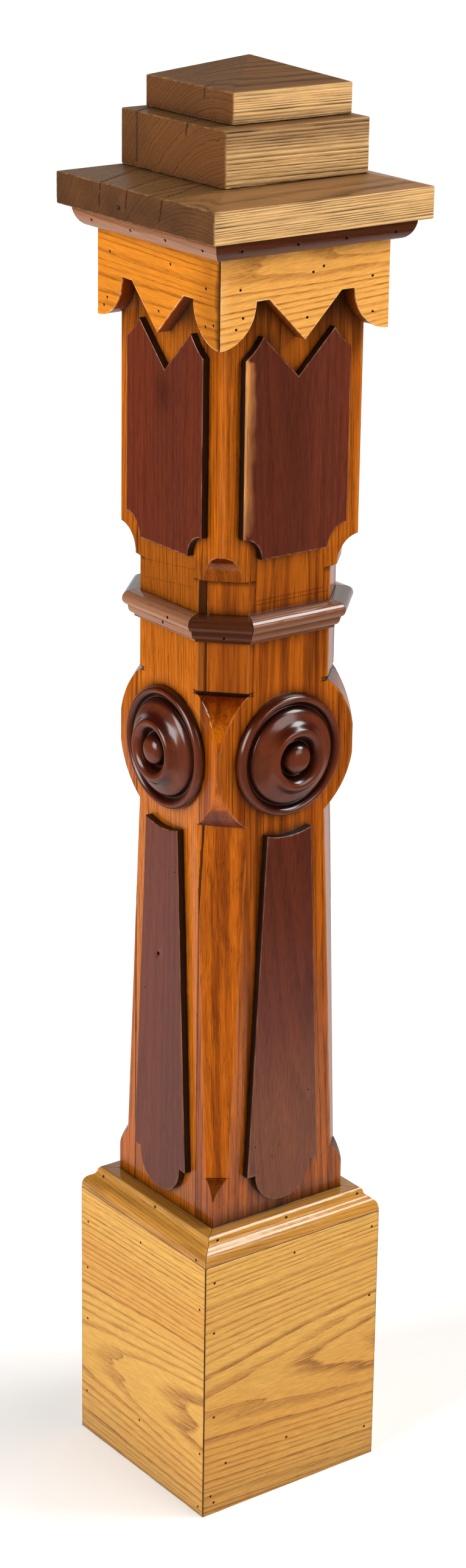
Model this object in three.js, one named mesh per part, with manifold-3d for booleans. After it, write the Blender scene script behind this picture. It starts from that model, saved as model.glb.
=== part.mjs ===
// A boxed newel post: a hollow post of four butt-jointed boards, clad at the foot by a mitred box, with
// raised panels, turned rosettes, an eight-sided collar, a scalloped skirt and a cap of three stacked blocks.
// Millimetres, +Z up. The origin is on the floor, on the post's axis. The front of the post faces -Y.

import * as THREE from 'three';
import { mergeVertices } from 'three/addons/utils/BufferGeometryUtils.js';
import Module from 'manifold-3d';

const wasm = await Module();
wasm.setup();

// Joints: the play left between two pieces that touch
const GAP = 0.3;
const MITRE_TRIM = 0.25; // taken off each end of a mitred piece

// Post: four boards around a square hollow
const POST_WIDTH = 150.8;
const POST_BOARD = 26; // thickness of the four boards
const EASED_EDGE = 1.2; // arris of the square stretches

// Foot: the box around the post and the moulding on top of it
const BASE_BOARD = 26.2;
const BASE_HEIGHT = 262;
const BASE_MOULDING_HEIGHT = 23.5;

// Long lower shaft: its corners are chamfered, narrow at the foot and wide under the rosettes
const FOOT_BLOCK_HEIGHT = 26; // plain square stretch above the base moulding
const FOOT_STOP_HEIGHT = 20; // the nose where the chamfer runs out
const STOP_CURVE = 1.75; // 1 is a flat slope, and more rounds the nose's lower end
const FOOT_CHAMFER = 14.2;
const STOP_STEP = 1.6; // the nose's tip stands proud of the chamfer by this
const TAPER_LENGTH = 342;
const SHAFT_CHAMFER = 31.8; // under the rosettes
const LOBE_STEP = 1.2; // the lobe's point stands proud of the chamfer by this

// Eight-sided neck above the rosettes, and the cove that carries the upper block
const NECK_CHAMFER = 31.1;
const NECK_LENGTH = 105;
const KERF_WIDTH = 2; // saw cut at the foot of the neck's chamfers
const KERF_DEPTH = 3.4;
const COVE_STEP = 7.3; // the cove's foot overhangs the neck's chamfer by this
const LEDGE = 0.8; // height of a small square shoulder
const UPPER_BLOCK_HEIGHT = 279;

// Everything planted on a face keeps this distance from the edge or the chamfer beside it
const MARGIN = 19;

// Rosettes: a turned disc on each face of the post
const ROSETTE_RIM = 8.5; // height of the outer bead
const ROSETTE_RING = 21; // height of the ring around the button
const ROSETTE_BUTTON = 22.5;
const ROSETTE_STEPS = 36;

// Collar: a half-round over an ovolo, mitred around the neck
const COLLAR_HEIGHT = 24.5;
const COLLAR_DEPTH = 15.5;
const COLLAR_DROP = 30.4; // from the ledge above the neck down to the collar's top

// Panels planted on the four faces
const PANEL_THICKNESS = 6.5;
const UPPER_PANEL_LIFT = 20; // above the ledge of the neck
const UPPER_PANEL_NOTCH = 20.5; // radius of the scooped lower corners
const PANEL_REVEAL = 23.2; // the panel's top follows the skirt's edge at this distance
const LOWER_PANEL_MARGIN = 20.6; // beside the chamfer at the foot, where it is a little wider
const LOWER_PANEL_SHOULDER = 9.1; // square shoulder beside the round tongue at the foot
const TONGUE_LIFT = 12; // above the base moulding

// Skirt: a scalloped board on each face, under the cap
const SKIRT_BOARD = 14.7;
const SKIRT_HEIGHT = 76.5;
const NOTCH_FLAT = 13.5; // between the tooth and each corner lobe

// Cap: bed moulding, slab and two blocks, each with a weathered top and a shelf around the block it carries
const BED_MOULDING_HEIGHT = 18.3;
const BED_MOULDING_SPREAD = 15.9; // beyond the skirt
const BED_MOULDING_LIP = 3.7; // flat edge above the quarter round
const SLAB_OVERHANG = 9.7; // beyond the bed moulding
const SLAB_EDGE = 27.8;
const SLAB_RISE = 8.3;
const SLAB_SHELF = 40.2;
const MIDDLE_EDGE = 47.5;
const MIDDLE_RISE = 1.6;
const MIDDLE_SHELF = 12.9;
const TOP_EDGE = 26.7;
const TOP_RISE = 19.5;
const APEX_FLAT = 1;
const TOP_SHIFT = [2.4, -1.7]; // the top block was fixed a little off the middle

// How finely curves are cut, and how far a cutting block reaches past what it cuts
const OVERCUT = 1;
const ARC_STEPS = 8;
const LOBE_STEPS = 16;
const STOP_STEPS = 5;

// Places that follow from the sizes above
const half = POST_WIDTH / 2;
const skirtHalf = half + SKIRT_BOARD;
const mouldingTop = BASE_HEIGHT + BASE_MOULDING_HEIGHT;
const footBlockTop = mouldingTop + FOOT_BLOCK_HEIGHT;
const footStopTop = footBlockTop + FOOT_STOP_HEIGHT;
const lobeBottom = footStopTop + TAPER_LENGTH;
const lobeRise = (chamfer) => Math.sqrt(half ** 2 - (half - chamfer) ** 2);
const rosetteZ = lobeBottom + lobeRise(SHAFT_CHAMFER - LOBE_STEP);
const lobeTop = rosetteZ + lobeRise(NECK_CHAMFER);
const ledgeZ = lobeTop + NECK_LENGTH;
const coveRadius = NECK_CHAMFER - COVE_STEP + EASED_EDGE;
const coveTop = ledgeZ + LEDGE + coveRadius;
const postTop = coveTop + UPPER_BLOCK_HEIGHT;
const skirtTop = postTop - BED_MOULDING_HEIGHT;
const skirtBottom = skirtTop - SKIRT_HEIGHT;
const skirtCut = (skirtHalf - NOTCH_FLAT) / 2; // lobe radius, notch depth and half the tooth's width
const notchZ = skirtBottom + skirtCut;
const rosetteRadius = half - MARGIN;
const slabHalf = skirtHalf + BED_MOULDING_SPREAD + SLAB_OVERHANG;
const middleHalf = slabHalf - SLAB_SHELF;
const topHalf = middleHalf - MIDDLE_SHELF;
const slabZ = postTop + GAP;
const middleZ = slabZ + SLAB_EDGE + SLAB_RISE + GAP;
const topZ = middleZ + MIDDLE_EDGE + MIDDLE_RISE + GAP;

const SIDES = ['front', 'right', 'back', 'left'];
const CORNERS = ['front_right', 'back_right', 'back_left', 'front_left'];

// Finishes
const paint = (colour, roughness) => () =>
  new THREE.MeshStandardMaterial({ color: colour, roughness, metalness: 0 });
const honeyAsh = paint('#d9a052', 0.4);
const oliveAsh = paint('#ad8644', 0.3);
const amberAsh = paint('#b5691f', 0.35);
const goldenAsh = paint('#d8923a', 0.35);
const redWalnut = paint('#5f2d1b', 0.35);
const mouldingWalnut = paint('#713f27', 0.3);
const turnedWalnut = paint('#54261a', 0.2);
const capWood = paint('#8a683c', 0.55);

// Points along an ellipse about [x, z], and along a circle, from one angle in degrees to another
const oval = (x, z, radiusX, radiusZ, from, to, steps) =>
  Array.from({ length: steps + 1 }, (_, i) => {
    const angle = THREE.MathUtils.degToRad(from + ((to - from) * i) / steps);
    return [x + radiusX * Math.cos(angle), z + radiusZ * Math.sin(angle)];
  });
const arc = (x, z, radius, from, to, steps = ARC_STEPS) => oval(x, z, radius, radius, from, to, steps);

// An outline's right half, followed by its mirror image without the points on the centre line
const ON_CENTRE = 1e-6;
const mirrored = (right) => {
  const beside = right.filter(([x]) => x > ON_CENTRE);
  return [...right, ...beside.map(([x, z]) => [-x, z]).reverse()];
};

// Closed mesh through rings of equally many points, each counter-clockwise as seen from the last ring's side
function loft(rings) {
  const count = rings[0].length;
  const points = rings.flat().flatMap((p) => p);
  const index = [];
  for (let r = 0; r + 1 < rings.length; r += 1) {
    for (let i = 0; i < count; i += 1) {
      const a = r * count + i;
      const b = r * count + ((i + 1) % count);
      index.push(a, b, b + count, a, b + count, a + count);
    }
  }
  const flat = (ring) => {
    const [o, p] = [new THREE.Vector3(...ring[0]), new THREE.Vector3(...ring[1])];
    const normal = new THREE.Vector3();
    for (let i = 1; i + 1 < count; i += 1) {
      const u = new THREE.Vector3(...ring[i]).sub(o);
      normal.add(u.cross(new THREE.Vector3(...ring[i + 1]).sub(o)));
    }
    const side = p.clone().sub(o).normalize();
    const up = normal.normalize().cross(side);
    return ring.map((q) => {
      const d = new THREE.Vector3(...q).sub(o);
      return new THREE.Vector2(d.dot(side), d.dot(up));
    });
  };
  const last = (rings.length - 1) * count;
  for (const [a, b, c] of THREE.ShapeUtils.triangulateShape(flat(rings[0]), [])) index.push(c, b, a);
  for (const [a, b, c] of THREE.ShapeUtils.triangulateShape(flat(rings.at(-1)), [])) {
    index.push(last + a, last + b, last + c);
  }
  const geometry = new THREE.BufferGeometry();
  geometry.setAttribute('position', new THREE.Float32BufferAttribute(points, 3));
  geometry.setIndex(index);
  return geometry;
}

function solid(geometry) {
  const bare = geometry.clone();
  bare.deleteAttribute('normal');
  bare.deleteAttribute('uv');
  const merged = mergeVertices(bare, 1e-4);
  return new wasm.Manifold(new wasm.Mesh({
    numProp: 3,
    vertProperties: merged.attributes.position.array,
    triVerts: Uint32Array.from(merged.index.array),
  }));
}

function shell(manifold) {
  const mesh = manifold.getMesh();
  const geometry = new THREE.BufferGeometry();
  geometry.setAttribute('position', new THREE.BufferAttribute(mesh.vertProperties, 3));
  geometry.setIndex(new THREE.BufferAttribute(mesh.triVerts, 1));
  return geometry;
}

function box(x0, x1, y0, y1, z0, z1) {
  const geometry = new THREE.BoxGeometry(x1 - x0, y1 - y0, z1 - z0);
  return geometry.translate((x0 + x1) / 2, (y0 + y1) / 2, (z0 + z1) / 2);
}

// A flat board: an outline of [x, z] points, planted on the face at y = -back and standing forward of it
function plank(outline, back, thickness) {
  const shape = new THREE.Shape(outline.map(([x, z]) => new THREE.Vector2(x, z)));
  const geometry = new THREE.ExtrudeGeometry(shape, { depth: thickness, bevelEnabled: false });
  return geometry.rotateX(Math.PI / 2).translate(0, -back, 0);
}

// A moulding along one face: its profile of [out, z] points stands out from the face at y = -face, and its
// ends are mitred, so that they part by the tangent for each millimetre out
function mitredRun(profile, face, halfLength, tangent) {
  const end = (side) => profile.map(([out, z]) => {
    const reach = halfLength + out * tangent - MITRE_TRIM;
    return [side * reach, -(face + out), z];
  });
  return loft([end(1), end(-1)]);
}

// Depth of the corner chamfer at each height, from the floor to the top of the post
function chamferLevels() {
  const nose = FOOT_CHAMFER - STOP_STEP - EASED_EDGE;
  const stop = Array.from({ length: STOP_STEPS + 1 }, (_, i) => {
    const up = i / STOP_STEPS;
    return [footBlockTop + up * FOOT_STOP_HEIGHT, EASED_EDGE + nose * up ** STOP_CURVE];
  });
  const reach = (chamfer) => Math.asin(lobeRise(chamfer) / half);
  const [from, to] = [-reach(SHAFT_CHAMFER - LOBE_STEP), reach(NECK_CHAMFER)];
  const lobe = Array.from({ length: LOBE_STEPS + 1 }, (_, i) => {
    const angle = from + ((to - from) * i) / LOBE_STEPS;
    return [rosetteZ + half * Math.sin(angle), Math.max(EASED_EDGE, half * (1 - Math.cos(angle)))];
  });
  const cove = arc(0, 0, coveRadius, 0, 90);
  return [
    [0, EASED_EDGE],
    ...stop,
    [footStopTop + LEDGE, FOOT_CHAMFER],
    [lobeBottom - LEDGE, SHAFT_CHAMFER],
    ...lobe,
    [lobeTop + LEDGE, NECK_CHAMFER + KERF_DEPTH],
    [lobeTop + LEDGE + KERF_WIDTH, NECK_CHAMFER + KERF_DEPTH],
    [lobeTop + 2 * LEDGE + KERF_WIDTH, NECK_CHAMFER],
    [ledgeZ, NECK_CHAMFER],
    ...cove.map(([out, rise]) => [ledgeZ + LEDGE + rise, Math.max(EASED_EDGE, out - EASED_EDGE)]),
    [postTop, EASED_EDGE],
  ];
}

// The whole post as one body, before it is parted into its boards
function postBody() {
  const rings = chamferLevels().map(([z, chamfer]) => {
    const flat = half - chamfer;
    const corner = [[flat, -half], [half, -flat], [half, flat], [flat, half]];
    return [...corner, ...corner.map(([x, y]) => [-x, -y])].map(([x, y]) => [x, y, z]);
  });
  return solid(loft(rings));
}

const post = postBody();
const inner = half - POST_BOARD;

// The front and back boards run the full width, and the side boards stand between them
function cutBoard(reach) {
  const slice = box(-reach, reach, -half - OVERCUT, -inner, -OVERCUT, postTop + OVERCUT);
  return shell(post.intersect(solid(slice)));
}
const wideBoard = () => cutBoard(half + OVERCUT);
const narrowBoard = () => cutBoard(inner - GAP);

const baseBoard = () => mitredRun(
  [[GAP, 0], [BASE_BOARD, 0], [BASE_BOARD, BASE_HEIGHT], [GAP, BASE_HEIGHT]], half, half, 1);

// Flat top, a short cove, a gentle slope and a round that drops on to the box
function baseMoulding() {
  const z0 = BASE_HEIGHT + GAP;
  const [d, h] = [BASE_BOARD, mouldingTop - z0];
  return mitredRun([
    [GAP, z0], [d * 0.985, z0], ...oval(d * 0.78, z0 + h * 0.28, d * 0.19, h * 0.27, 0, 75, 4),
    [d * 0.64, z0 + h * 0.66], [d * 0.59, z0 + h * 0.76], [d * 0.56, z0 + h * 0.92], [d * 0.49, mouldingTop],
    [GAP, mouldingTop],
  ], half, half, 1);
}

// A bead at the rim, a groove, an ogee up to the ring, a sunk ring and the button
function rosette() {
  const r = rosetteRadius;
  const sink = ROSETTE_RING * 0.55;
  const profile = [
    [0, 0], [r * 0.985, 0], [r, ROSETTE_RIM * 0.5], [r * 0.97, ROSETTE_RIM * 0.9], [r * 0.92, ROSETTE_RIM],
    [r * 0.86, ROSETTE_RIM * 0.75], [r * 0.82, ROSETTE_RIM * 0.45], [r * 0.79, ROSETTE_RIM * 0.8],
    [r * 0.73, ROSETTE_RING * 0.53], [r * 0.62, ROSETTE_RING * 0.68], [r * 0.53, ROSETTE_RING * 0.86],
    [r * 0.46, ROSETTE_RING], [r * 0.37, ROSETTE_RING * 0.95], [r * 0.31, ROSETTE_RING * 0.8],
    [r * 0.27, sink], [r * 0.25, ROSETTE_BUTTON * 0.72], [r * 0.18, ROSETTE_BUTTON * 0.93],
    [0, ROSETTE_BUTTON],
  ];
  const points = profile.map(([x, y]) => new THREE.Vector2(x, y));
  return new THREE.LatheGeometry(points, ROSETTE_STEPS).rotateX(Math.PI).translate(0, -half - GAP, rosetteZ);
}

// Half-round on top, a small fillet under it, and an ovolo down to the neck
function collarProfile() {
  const top = ledgeZ - COLLAR_DROP;
  const [d, h] = [COLLAR_DEPTH, COLLAR_HEIGHT];
  const bead = h * 0.27;
  const beadZ = top - bead - 1;
  const filletZ = top - h * 0.66;
  return [
    [GAP, top - h], ...oval(d * 0.25, filletZ, d * 0.4, h * 0.32, -80, 0, 5), [d * 0.72, filletZ],
    [d * 0.72, filletZ + 1.6], ...arc(d - bead, beadZ, bead, -75, 85, 7), [GAP, top],
  ];
}

function collarPiece(isCorner) {
  const facet = (NECK_CHAMFER * Math.SQRT2) / 2;
  const tangent = Math.tan(Math.PI / 8);
  if (isCorner) return mitredRun(collarProfile(), (2 * half - NECK_CHAMFER) / Math.SQRT2, facet, tangent);
  return mitredRun(collarProfile(), half, half - NECK_CHAMFER, tangent);
}

// A lobe at each end and a tooth in the middle, with the board's ends mitred
function skirtBoard() {
  const outline = mirrored([
    [0, skirtBottom], [skirtCut, notchZ], [skirtHalf - skirtCut, notchZ],
    ...arc(skirtHalf, notchZ, skirtCut, 180, 270).slice(1), [skirtHalf, skirtTop - GAP],
  ]);
  const [depth, low, high] = [SKIRT_BOARD + OVERCUT, skirtBottom - OVERCUT, skirtTop + OVERCUT];
  const mitres = mitredRun([[0, low], [depth, low], [depth, high], [0, high]], half, half, 1);
  return shell(solid(plank(outline, half + GAP, SKIRT_BOARD - GAP)).intersect(solid(mitres)));
}

// The top edge keeps its distance from the skirt's tooth and lobes, and the lower corners are scooped out
function upperPanel() {
  const valley = skirtBottom - PANEL_REVEAL * Math.SQRT2;
  const reach = skirtCut + PANEL_REVEAL;
  const [side, foot] = [half - MARGIN, ledgeZ + UPPER_PANEL_LIFT];
  const middle = (skirtHalf + notchZ - valley) / 2;
  const peak = middle - Math.sqrt(reach ** 2 / 2 - (skirtHalf - middle) ** 2);
  const angleAt = (x, z) => THREE.MathUtils.radToDeg(Math.atan2(notchZ - z, skirtHalf - x)) + 180;
  const shoulder = notchZ - Math.sqrt(reach ** 2 - (skirtHalf - side) ** 2);
  return plank(mirrored([
    [0, valley],
    ...arc(skirtHalf, notchZ, reach, angleAt(peak, valley + peak), angleAt(side, shoulder), 5),
    ...arc(side, foot, UPPER_PANEL_NOTCH, 90, 180, 6),
  ]), half + GAP, PANEL_THICKNESS);
}

// Concave top around the rosette, sides beside the chamfers, square shoulders and a round tongue at the foot
function lowerPanel() {
  const widest = half - FOOT_CHAMFER - LOWER_PANEL_MARGIN;
  const slope = (widest - (half - SHAFT_CHAMFER - MARGIN)) / TAPER_LENGTH;
  const widthAt = (z) => widest - slope * (z - footStopTop);
  const tongue = widthAt(footStopTop) - LOWER_PANEL_SHOULDER;
  const shoulderZ = mouldingTop + TONGUE_LIFT + tongue;
  const sweep = Math.asin(widthAt(lobeBottom) / half);
  return plank(mirrored([
    ...arc(0, rosetteZ, half, 270, 270 + THREE.MathUtils.radToDeg(sweep), 5),
    [widthAt(shoulderZ), shoulderZ],
    ...arc(0, shoulderZ, tongue, 0, -90, 10),
  ]), half + GAP, PANEL_THICKNESS);
}

// A quarter round that spreads from the skirt to the slab
function bedMoulding() {
  const [spread, drop] = [BED_MOULDING_SPREAD, BED_MOULDING_HEIGHT - BED_MOULDING_LIP];
  const round = oval(SKIRT_BOARD, postTop - BED_MOULDING_LIP, spread, drop, -90, 0, 6);
  const profile = [[GAP, skirtTop], ...round, [SKIRT_BOARD + spread, postTop], [GAP, postTop]];
  return mitredRun(profile, half, half, 1);
}

// A square block with straight sides and a top that slopes in to a smaller square
function weatheredBlock(reach, edge, rise, seat, z, [x, y] = [0, 0]) {
  const ring = (r, level) => [[-r, -r], [r, -r], [r, r], [-r, r]].map(([dx, dy]) => [x + dx, y + dy, level]);
  return loft([ring(reach, z), ring(reach, z + edge), ring(seat, z + edge + rise)]);
}

const newelPost = new THREE.Group();

function add(name, geometry, material, turn = 0) {
  const mesh = new THREE.Mesh(geometry, material());
  mesh.name = name;
  const turned = new THREE.Group();
  turned.rotation.z = turn;
  turned.add(mesh);
  newelPost.add(turned);
}

SIDES.forEach((side, i) => {
  const turn = (i * Math.PI) / 2;
  add(`base_board_${side}`, baseBoard(), honeyAsh, turn);
  add(`base_moulding_${side}`, baseMoulding(), oliveAsh, turn);
  add(`post_board_${side}`, i % 2 === 0 ? wideBoard() : narrowBoard(), amberAsh, turn);
  add(`lower_panel_${side}`, lowerPanel(), redWalnut, turn);
  add(`rosette_${side}`, rosette(), turnedWalnut, turn);
  add(`collar_${side}`, collarPiece(false), mouldingWalnut, turn);
  add(`collar_${CORNERS[i]}`, collarPiece(true), mouldingWalnut, turn + Math.PI / 4);
  add(`upper_panel_${side}`, upperPanel(), redWalnut, turn);
  add(`skirt_board_${side}`, skirtBoard(), goldenAsh, turn);
  add(`bed_moulding_${side}`, bedMoulding(), mouldingWalnut, turn);
});

add('cap_slab', weatheredBlock(slabHalf, SLAB_EDGE, SLAB_RISE, middleHalf, slabZ), capWood);
add('cap_middle_block', weatheredBlock(middleHalf, MIDDLE_EDGE, MIDDLE_RISE, topHalf, middleZ), capWood);
add('cap_top_block', weatheredBlock(topHalf, TOP_EDGE, TOP_RISE, APEX_FLAT / 2, topZ, TOP_SHIFT), capWood);

export default newelPost;
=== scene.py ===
# %% [markdown]
# # A boxed newel post
# The real post is a hollow box of four boards. A mitred box and a moulding clad its foot, and panels,
# rosettes, a collar, a skirt and a stepped cap are planted on it. It could be carved from one block by
# sculpting, but here each piece is its own closed mesh, worked out with numpy in the place where the
# construction model has it. That keeps every seam, mitre and shadow line where a joiner would leave it.

# %% Open the construction model
import math

import bpy
import numpy as np
from mathutils import Matrix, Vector
from mathutils.geometry import delaunay_2d_cdt


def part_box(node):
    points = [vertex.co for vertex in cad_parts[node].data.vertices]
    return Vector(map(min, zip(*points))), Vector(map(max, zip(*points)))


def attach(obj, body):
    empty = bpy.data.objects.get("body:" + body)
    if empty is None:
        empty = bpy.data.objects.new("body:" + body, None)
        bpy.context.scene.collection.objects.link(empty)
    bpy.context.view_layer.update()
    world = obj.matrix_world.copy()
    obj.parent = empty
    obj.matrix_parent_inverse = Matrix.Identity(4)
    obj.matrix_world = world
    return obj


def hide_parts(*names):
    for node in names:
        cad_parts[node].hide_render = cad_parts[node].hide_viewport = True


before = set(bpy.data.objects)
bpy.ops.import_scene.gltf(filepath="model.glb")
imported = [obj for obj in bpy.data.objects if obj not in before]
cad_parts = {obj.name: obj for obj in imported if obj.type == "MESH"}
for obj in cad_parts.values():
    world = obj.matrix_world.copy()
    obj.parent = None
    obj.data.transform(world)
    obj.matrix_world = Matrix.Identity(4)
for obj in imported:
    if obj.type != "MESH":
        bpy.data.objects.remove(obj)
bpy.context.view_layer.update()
print("pieces of the construction model:", len(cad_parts))

# %% [markdown]
# ## Sizes
# Every shape is worked out in millimetres and turned to metres at the end. Lengths that the construction
# model can tell are read from its boxes. The chamfers and curves inside those boxes are named here.

# %% Sizes read from the construction model


def box_mm(node):
    """Lowest and highest corner of a node, in millimetres."""
    return [np.array(corner) * 1000 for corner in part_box(node)]


post_low, post_high = box_mm("post_board_front")
half = -post_low[1]
inner = -post_high[1]
post_top = post_high[2]
base_out = -box_mm("base_board_front")[0][1] - half
base_height = box_mm("base_board_front")[1][2]
moulding_top = box_mm("base_moulding_front")[1][2]
panel_out = -box_mm("upper_panel_front")[0][1] - half
collar_low, collar_high = box_mm("collar_front")
skirt_low, skirt_high = box_mm("skirt_board_front")
skirt_half = -skirt_low[1]
bed_low, bed_high = box_mm("bed_moulding_front")
rosette_low, rosette_high = box_mm("rosette_front")
rosette_radius = rosette_high[0]
rosette_z = (rosette_low[2] + rosette_high[2]) / 2
print(f"post {2 * half:.1f} mm wide, {post_top:.0f} mm to the top of the boards")

# %% Sizes of the chamfers and curves

GAP = 0.3  # play between two pieces that touch
MITRE_TRIM = 0.25
EASED_EDGE = 1.2
STEP = 0.6  # height over which the chamfer changes at a ledge
FOOT_STOP = 20.0
STOP_CURVE = 1.75
FOOT_CHAMFER = 14.2
STOP_STEP = 1.6
TAPER_LENGTH = 342.0
SHAFT_CHAMFER = 31.8
LOBE_STEP = 1.2
NECK_CHAMFER = 31.1
KERF_WIDTH = 2.0
KERF_DEPTH = 3.4
COVE_STEP = 7.3
LEDGE = 0.8
MARGIN = 19.0
COLLAR_DROP = 30.4


def lobe_rise(chamfer):
    """How far above or below the rosette's centre the round lobe has a chamfer of this width."""
    return math.sqrt(half**2 - (half - chamfer) ** 2)


lobe_bottom = rosette_z - lobe_rise(SHAFT_CHAMFER - LOBE_STEP)
lobe_top = rosette_z + lobe_rise(NECK_CHAMFER)
foot_stop_top = lobe_bottom - TAPER_LENGTH
foot_block_top = foot_stop_top - FOOT_STOP
ledge_z = collar_high[2] + COLLAR_DROP
cove_radius = NECK_CHAMFER - COVE_STEP + EASED_EDGE
cove_top = ledge_z + LEDGE + cove_radius
print(f"chamfer stops at {foot_stop_top:.0f} mm, lobes from {lobe_bottom:.0f} to {lobe_top:.0f} mm")

# %% [markdown]
# ## One way to make every mesh
# All pieces are closed tubes: rows of points, each row once around the piece, with a flat face at either
# end. A grid primitive with modifiers could do the same, but whole arrays are quicker and exact. Three
# values go with the points. "board" is the place in the plank that the piece was sawn from, measured from
# the heart of the tree, so that growth rings run on from a face to its edge. "wear" marks arrises and the
# third mark says what holds dirt and where shade is painted.

# %% Arrays to closed shapes


def grid_faces(rows, columns):
    """Four-cornered faces between neighbouring rows, where each row closes on itself."""
    i = np.arange(rows - 1)[:, None]
    j = np.arange(columns)[None, :]
    following = (j + 1) % columns
    corners = [i * columns + j, i * columns + following]
    quads = np.stack([*corners, corners[1] + columns, corners[0] + columns], axis=-1)
    return quads.reshape(-1, 4)


def tube(points):
    """Closed shape through rows of points: quads between the rows and a flat face at each end."""
    rows, columns, _ = points.shape
    faces = grid_faces(rows, columns).tolist()
    ends = [np.arange(columns)[::-1].tolist(), (np.arange(columns) + (rows - 1) * columns).tolist()]
    return points.reshape(-1, 3), faces + ends


def smooth_noise(points, size, seed=0):
    """Noise from -1 to 1: hashed values on a lattice of this size in mm, eased from one to the next."""
    places = np.asarray(points, float) / size + seed * 17.31
    cell = np.floor(places).astype(np.int64)
    part = places - cell
    part = part * part * (3 - 2 * part)
    total = np.zeros(places.shape[:-1])
    for corner in np.ndindex(2, 2, 2):
        mixed = ((cell + corner) * np.array([73856093, 19349663, 83492791])).sum(-1)
        mixed = (mixed ^ (mixed >> 13)) * 1274126177 & 0xFFFFFFFF
        value = ((mixed ^ (mixed >> 15)) & 0xFFFF) / 32767.5 - 1
        total += value * np.prod(np.where(corner, part, 1 - part), axis=-1)
    return total


def turned(points, degrees):
    """Points turned about the post's axis, as seen from above."""
    c, s = math.cos(math.radians(degrees)), math.sin(math.radians(degrees))
    x, y, z = np.moveaxis(points, -1, 0)
    return np.stack([c * x - s * y, s * x + c * y, z], axis=-1)


# %% Place of each point in its plank

SIDES = ["front", "right", "back", "left"]
SWAY = 5.0  # how far the grain wanders, mm
SWAY_LENGTH = 90.0
ALONG_STRETCH = 0.22  # grain changes this much more slowly along the tree


def in_plank(points, grain, heart, lean, seed, sway=SWAY):
    """Place in the plank, measured from the tree's heart: across, deep and along. The first two are the
    point's own less the heart's, the third runs with the grain. The heart leans, and smooth noise makes the
    rings wander by sway millimetres."""
    across = [axis for axis in range(3) if axis != grain]
    a = points[..., across[0]] - heart[0]
    b = points[..., across[1]] - heart[1]
    along = points[..., grain]
    slow = np.stack([a, b, along * ALONG_STRETCH], axis=-1)
    a = a + sway * smooth_noise(slow, SWAY_LENGTH, seed) + lean[0] * along
    b = b + sway * smooth_noise(slow, SWAY_LENGTH, seed + 5) + lean[1] * along
    return np.stack([a, b, along + seed * 311.7], axis=-1)


# %% Put a shape into the scene

pieces_made = {}


def signed_volume(points, faces):
    """Sum over triangles of the box product of their corners: positive if the faces point out."""
    fans = [(f[0], f[k], f[k + 1]) for f in faces for k in range(1, len(f) - 1)]
    a, b, c = np.moveaxis(points[np.array(fans)], 1, 0)
    return float(np.einsum("ij,ij->i", a, np.cross(b, c)).sum() / 6)


SMOOTH_ANGLE = math.radians(32.0)  # faces that meet at a larger angle have a crisp edge
MARKS = ("wear", "dirt_and_shade", "tone", "plain")


def keep_values(mesh, name, values, kind="FLOAT", domain="POINT"):
    """Keeps an array as an attribute of the mesh, as single numbers or as vectors."""
    attribute = mesh.attributes.new(name, kind, domain)
    attribute.data.foreach_set("value" if kind == "FLOAT" else "vector", np.ravel(values).astype(np.float32))


def build(name, shape, materials, grain=2, heart=(0.0, 0.0), lean=(0.0, 0.0), seed=0, turn=0.0,
          sway=SWAY, marks=None, face_material=None):
    """Makes the piece that stands for the node of that name: turns it to its side, faces it outwards, and
    keeps its place in the plank and its marks as attributes of the mesh. Marks that aren't given are 0."""
    points, faces = shape
    if signed_volume(points, faces) < 0:
        faces = [face[::-1] for face in faces]
    placed = turned(points, turn) / 1000
    mesh = bpy.data.meshes.new(name)
    mesh.from_pydata(placed.tolist(), [], faces)
    mesh.shade_smooth()
    mesh.set_sharp_from_angle(angle=SMOOTH_ANGLE)
    keep_values(mesh, "board", in_plank(points, grain, heart, lean, seed, sway), "FLOAT_VECTOR")
    for mark in MARKS:
        keep_values(mesh, mark, (marks or {}).get(mark, np.zeros(len(points))))
    normals = np.zeros(len(faces) * 3, np.float32)
    mesh.polygons.foreach_get("normal", normals)
    axis = turned(np.eye(3)[grain], turn)
    keep_values(mesh, "end_grain", np.abs(normals.reshape(-1, 3) @ axis), domain="FACE")
    for material in materials:
        mesh.materials.append(material)
    if face_material is not None:
        mesh.polygons.foreach_set("material_index", np.asarray(face_material, np.int32))
    made = bpy.data.objects.new(f"{name}_finished", mesh)
    bpy.context.scene.collection.objects.link(made)
    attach(made, "root")
    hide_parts(name)
    pieces_made[name] = sum(len(face) - 2 for face in faces)
    return made


# %% [markdown]
# ## Wood and varnish
# All of the wood is real solid timber under old varnish, so one recipe serves every finish. Growth rings
# are the distance from the heart, cut into steps that noise makes wide and narrow, as good and bad years
# do. A sharp dark line starts each ring and fades out over it. Long thin noise makes the fibres, short dark
# dashes the open pores, and broad noise the patches that drank more stain. Dirt and painted shade darken
# the corners where little light falls, which the ambient occlusion of the surface finds, and wherever a
# shape's mark for dirt and painted shade says so. A picture of wood would be quicker, but it would not run
# round the edges of the boards.

# %% Nodes and colours


def linear(colour):
    """A hex colour as Blender's linear values: the sRGB curve undone for each channel."""
    parts = [int(colour[k : k + 2], 16) / 255 for k in (1, 3, 5)]
    return [p / 12.92 if p <= 0.04045 else ((p + 0.055) / 1.055) ** 2.4 for p in parts] + [1.0]


def node(tree, kind, inputs=None, **settings):
    """Adds one node. Inputs are values, or outputs of other nodes, by the socket's name or number."""
    made = tree.nodes.new("ShaderNode" + kind)
    for key, value in settings.items():
        setattr(made, key, value)
    for socket, value in (inputs or {}).items():
        if isinstance(value, bpy.types.NodeSocket):
            tree.links.new(value, made.inputs[socket])
        else:
            made.inputs[socket].default_value = value
    return made


# %% The recipe for varnished wood

FACTOR, FIRST, SECOND, RESULT = 0, 6, 7, 2  # sockets of the Mix node when it mixes colours


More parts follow.
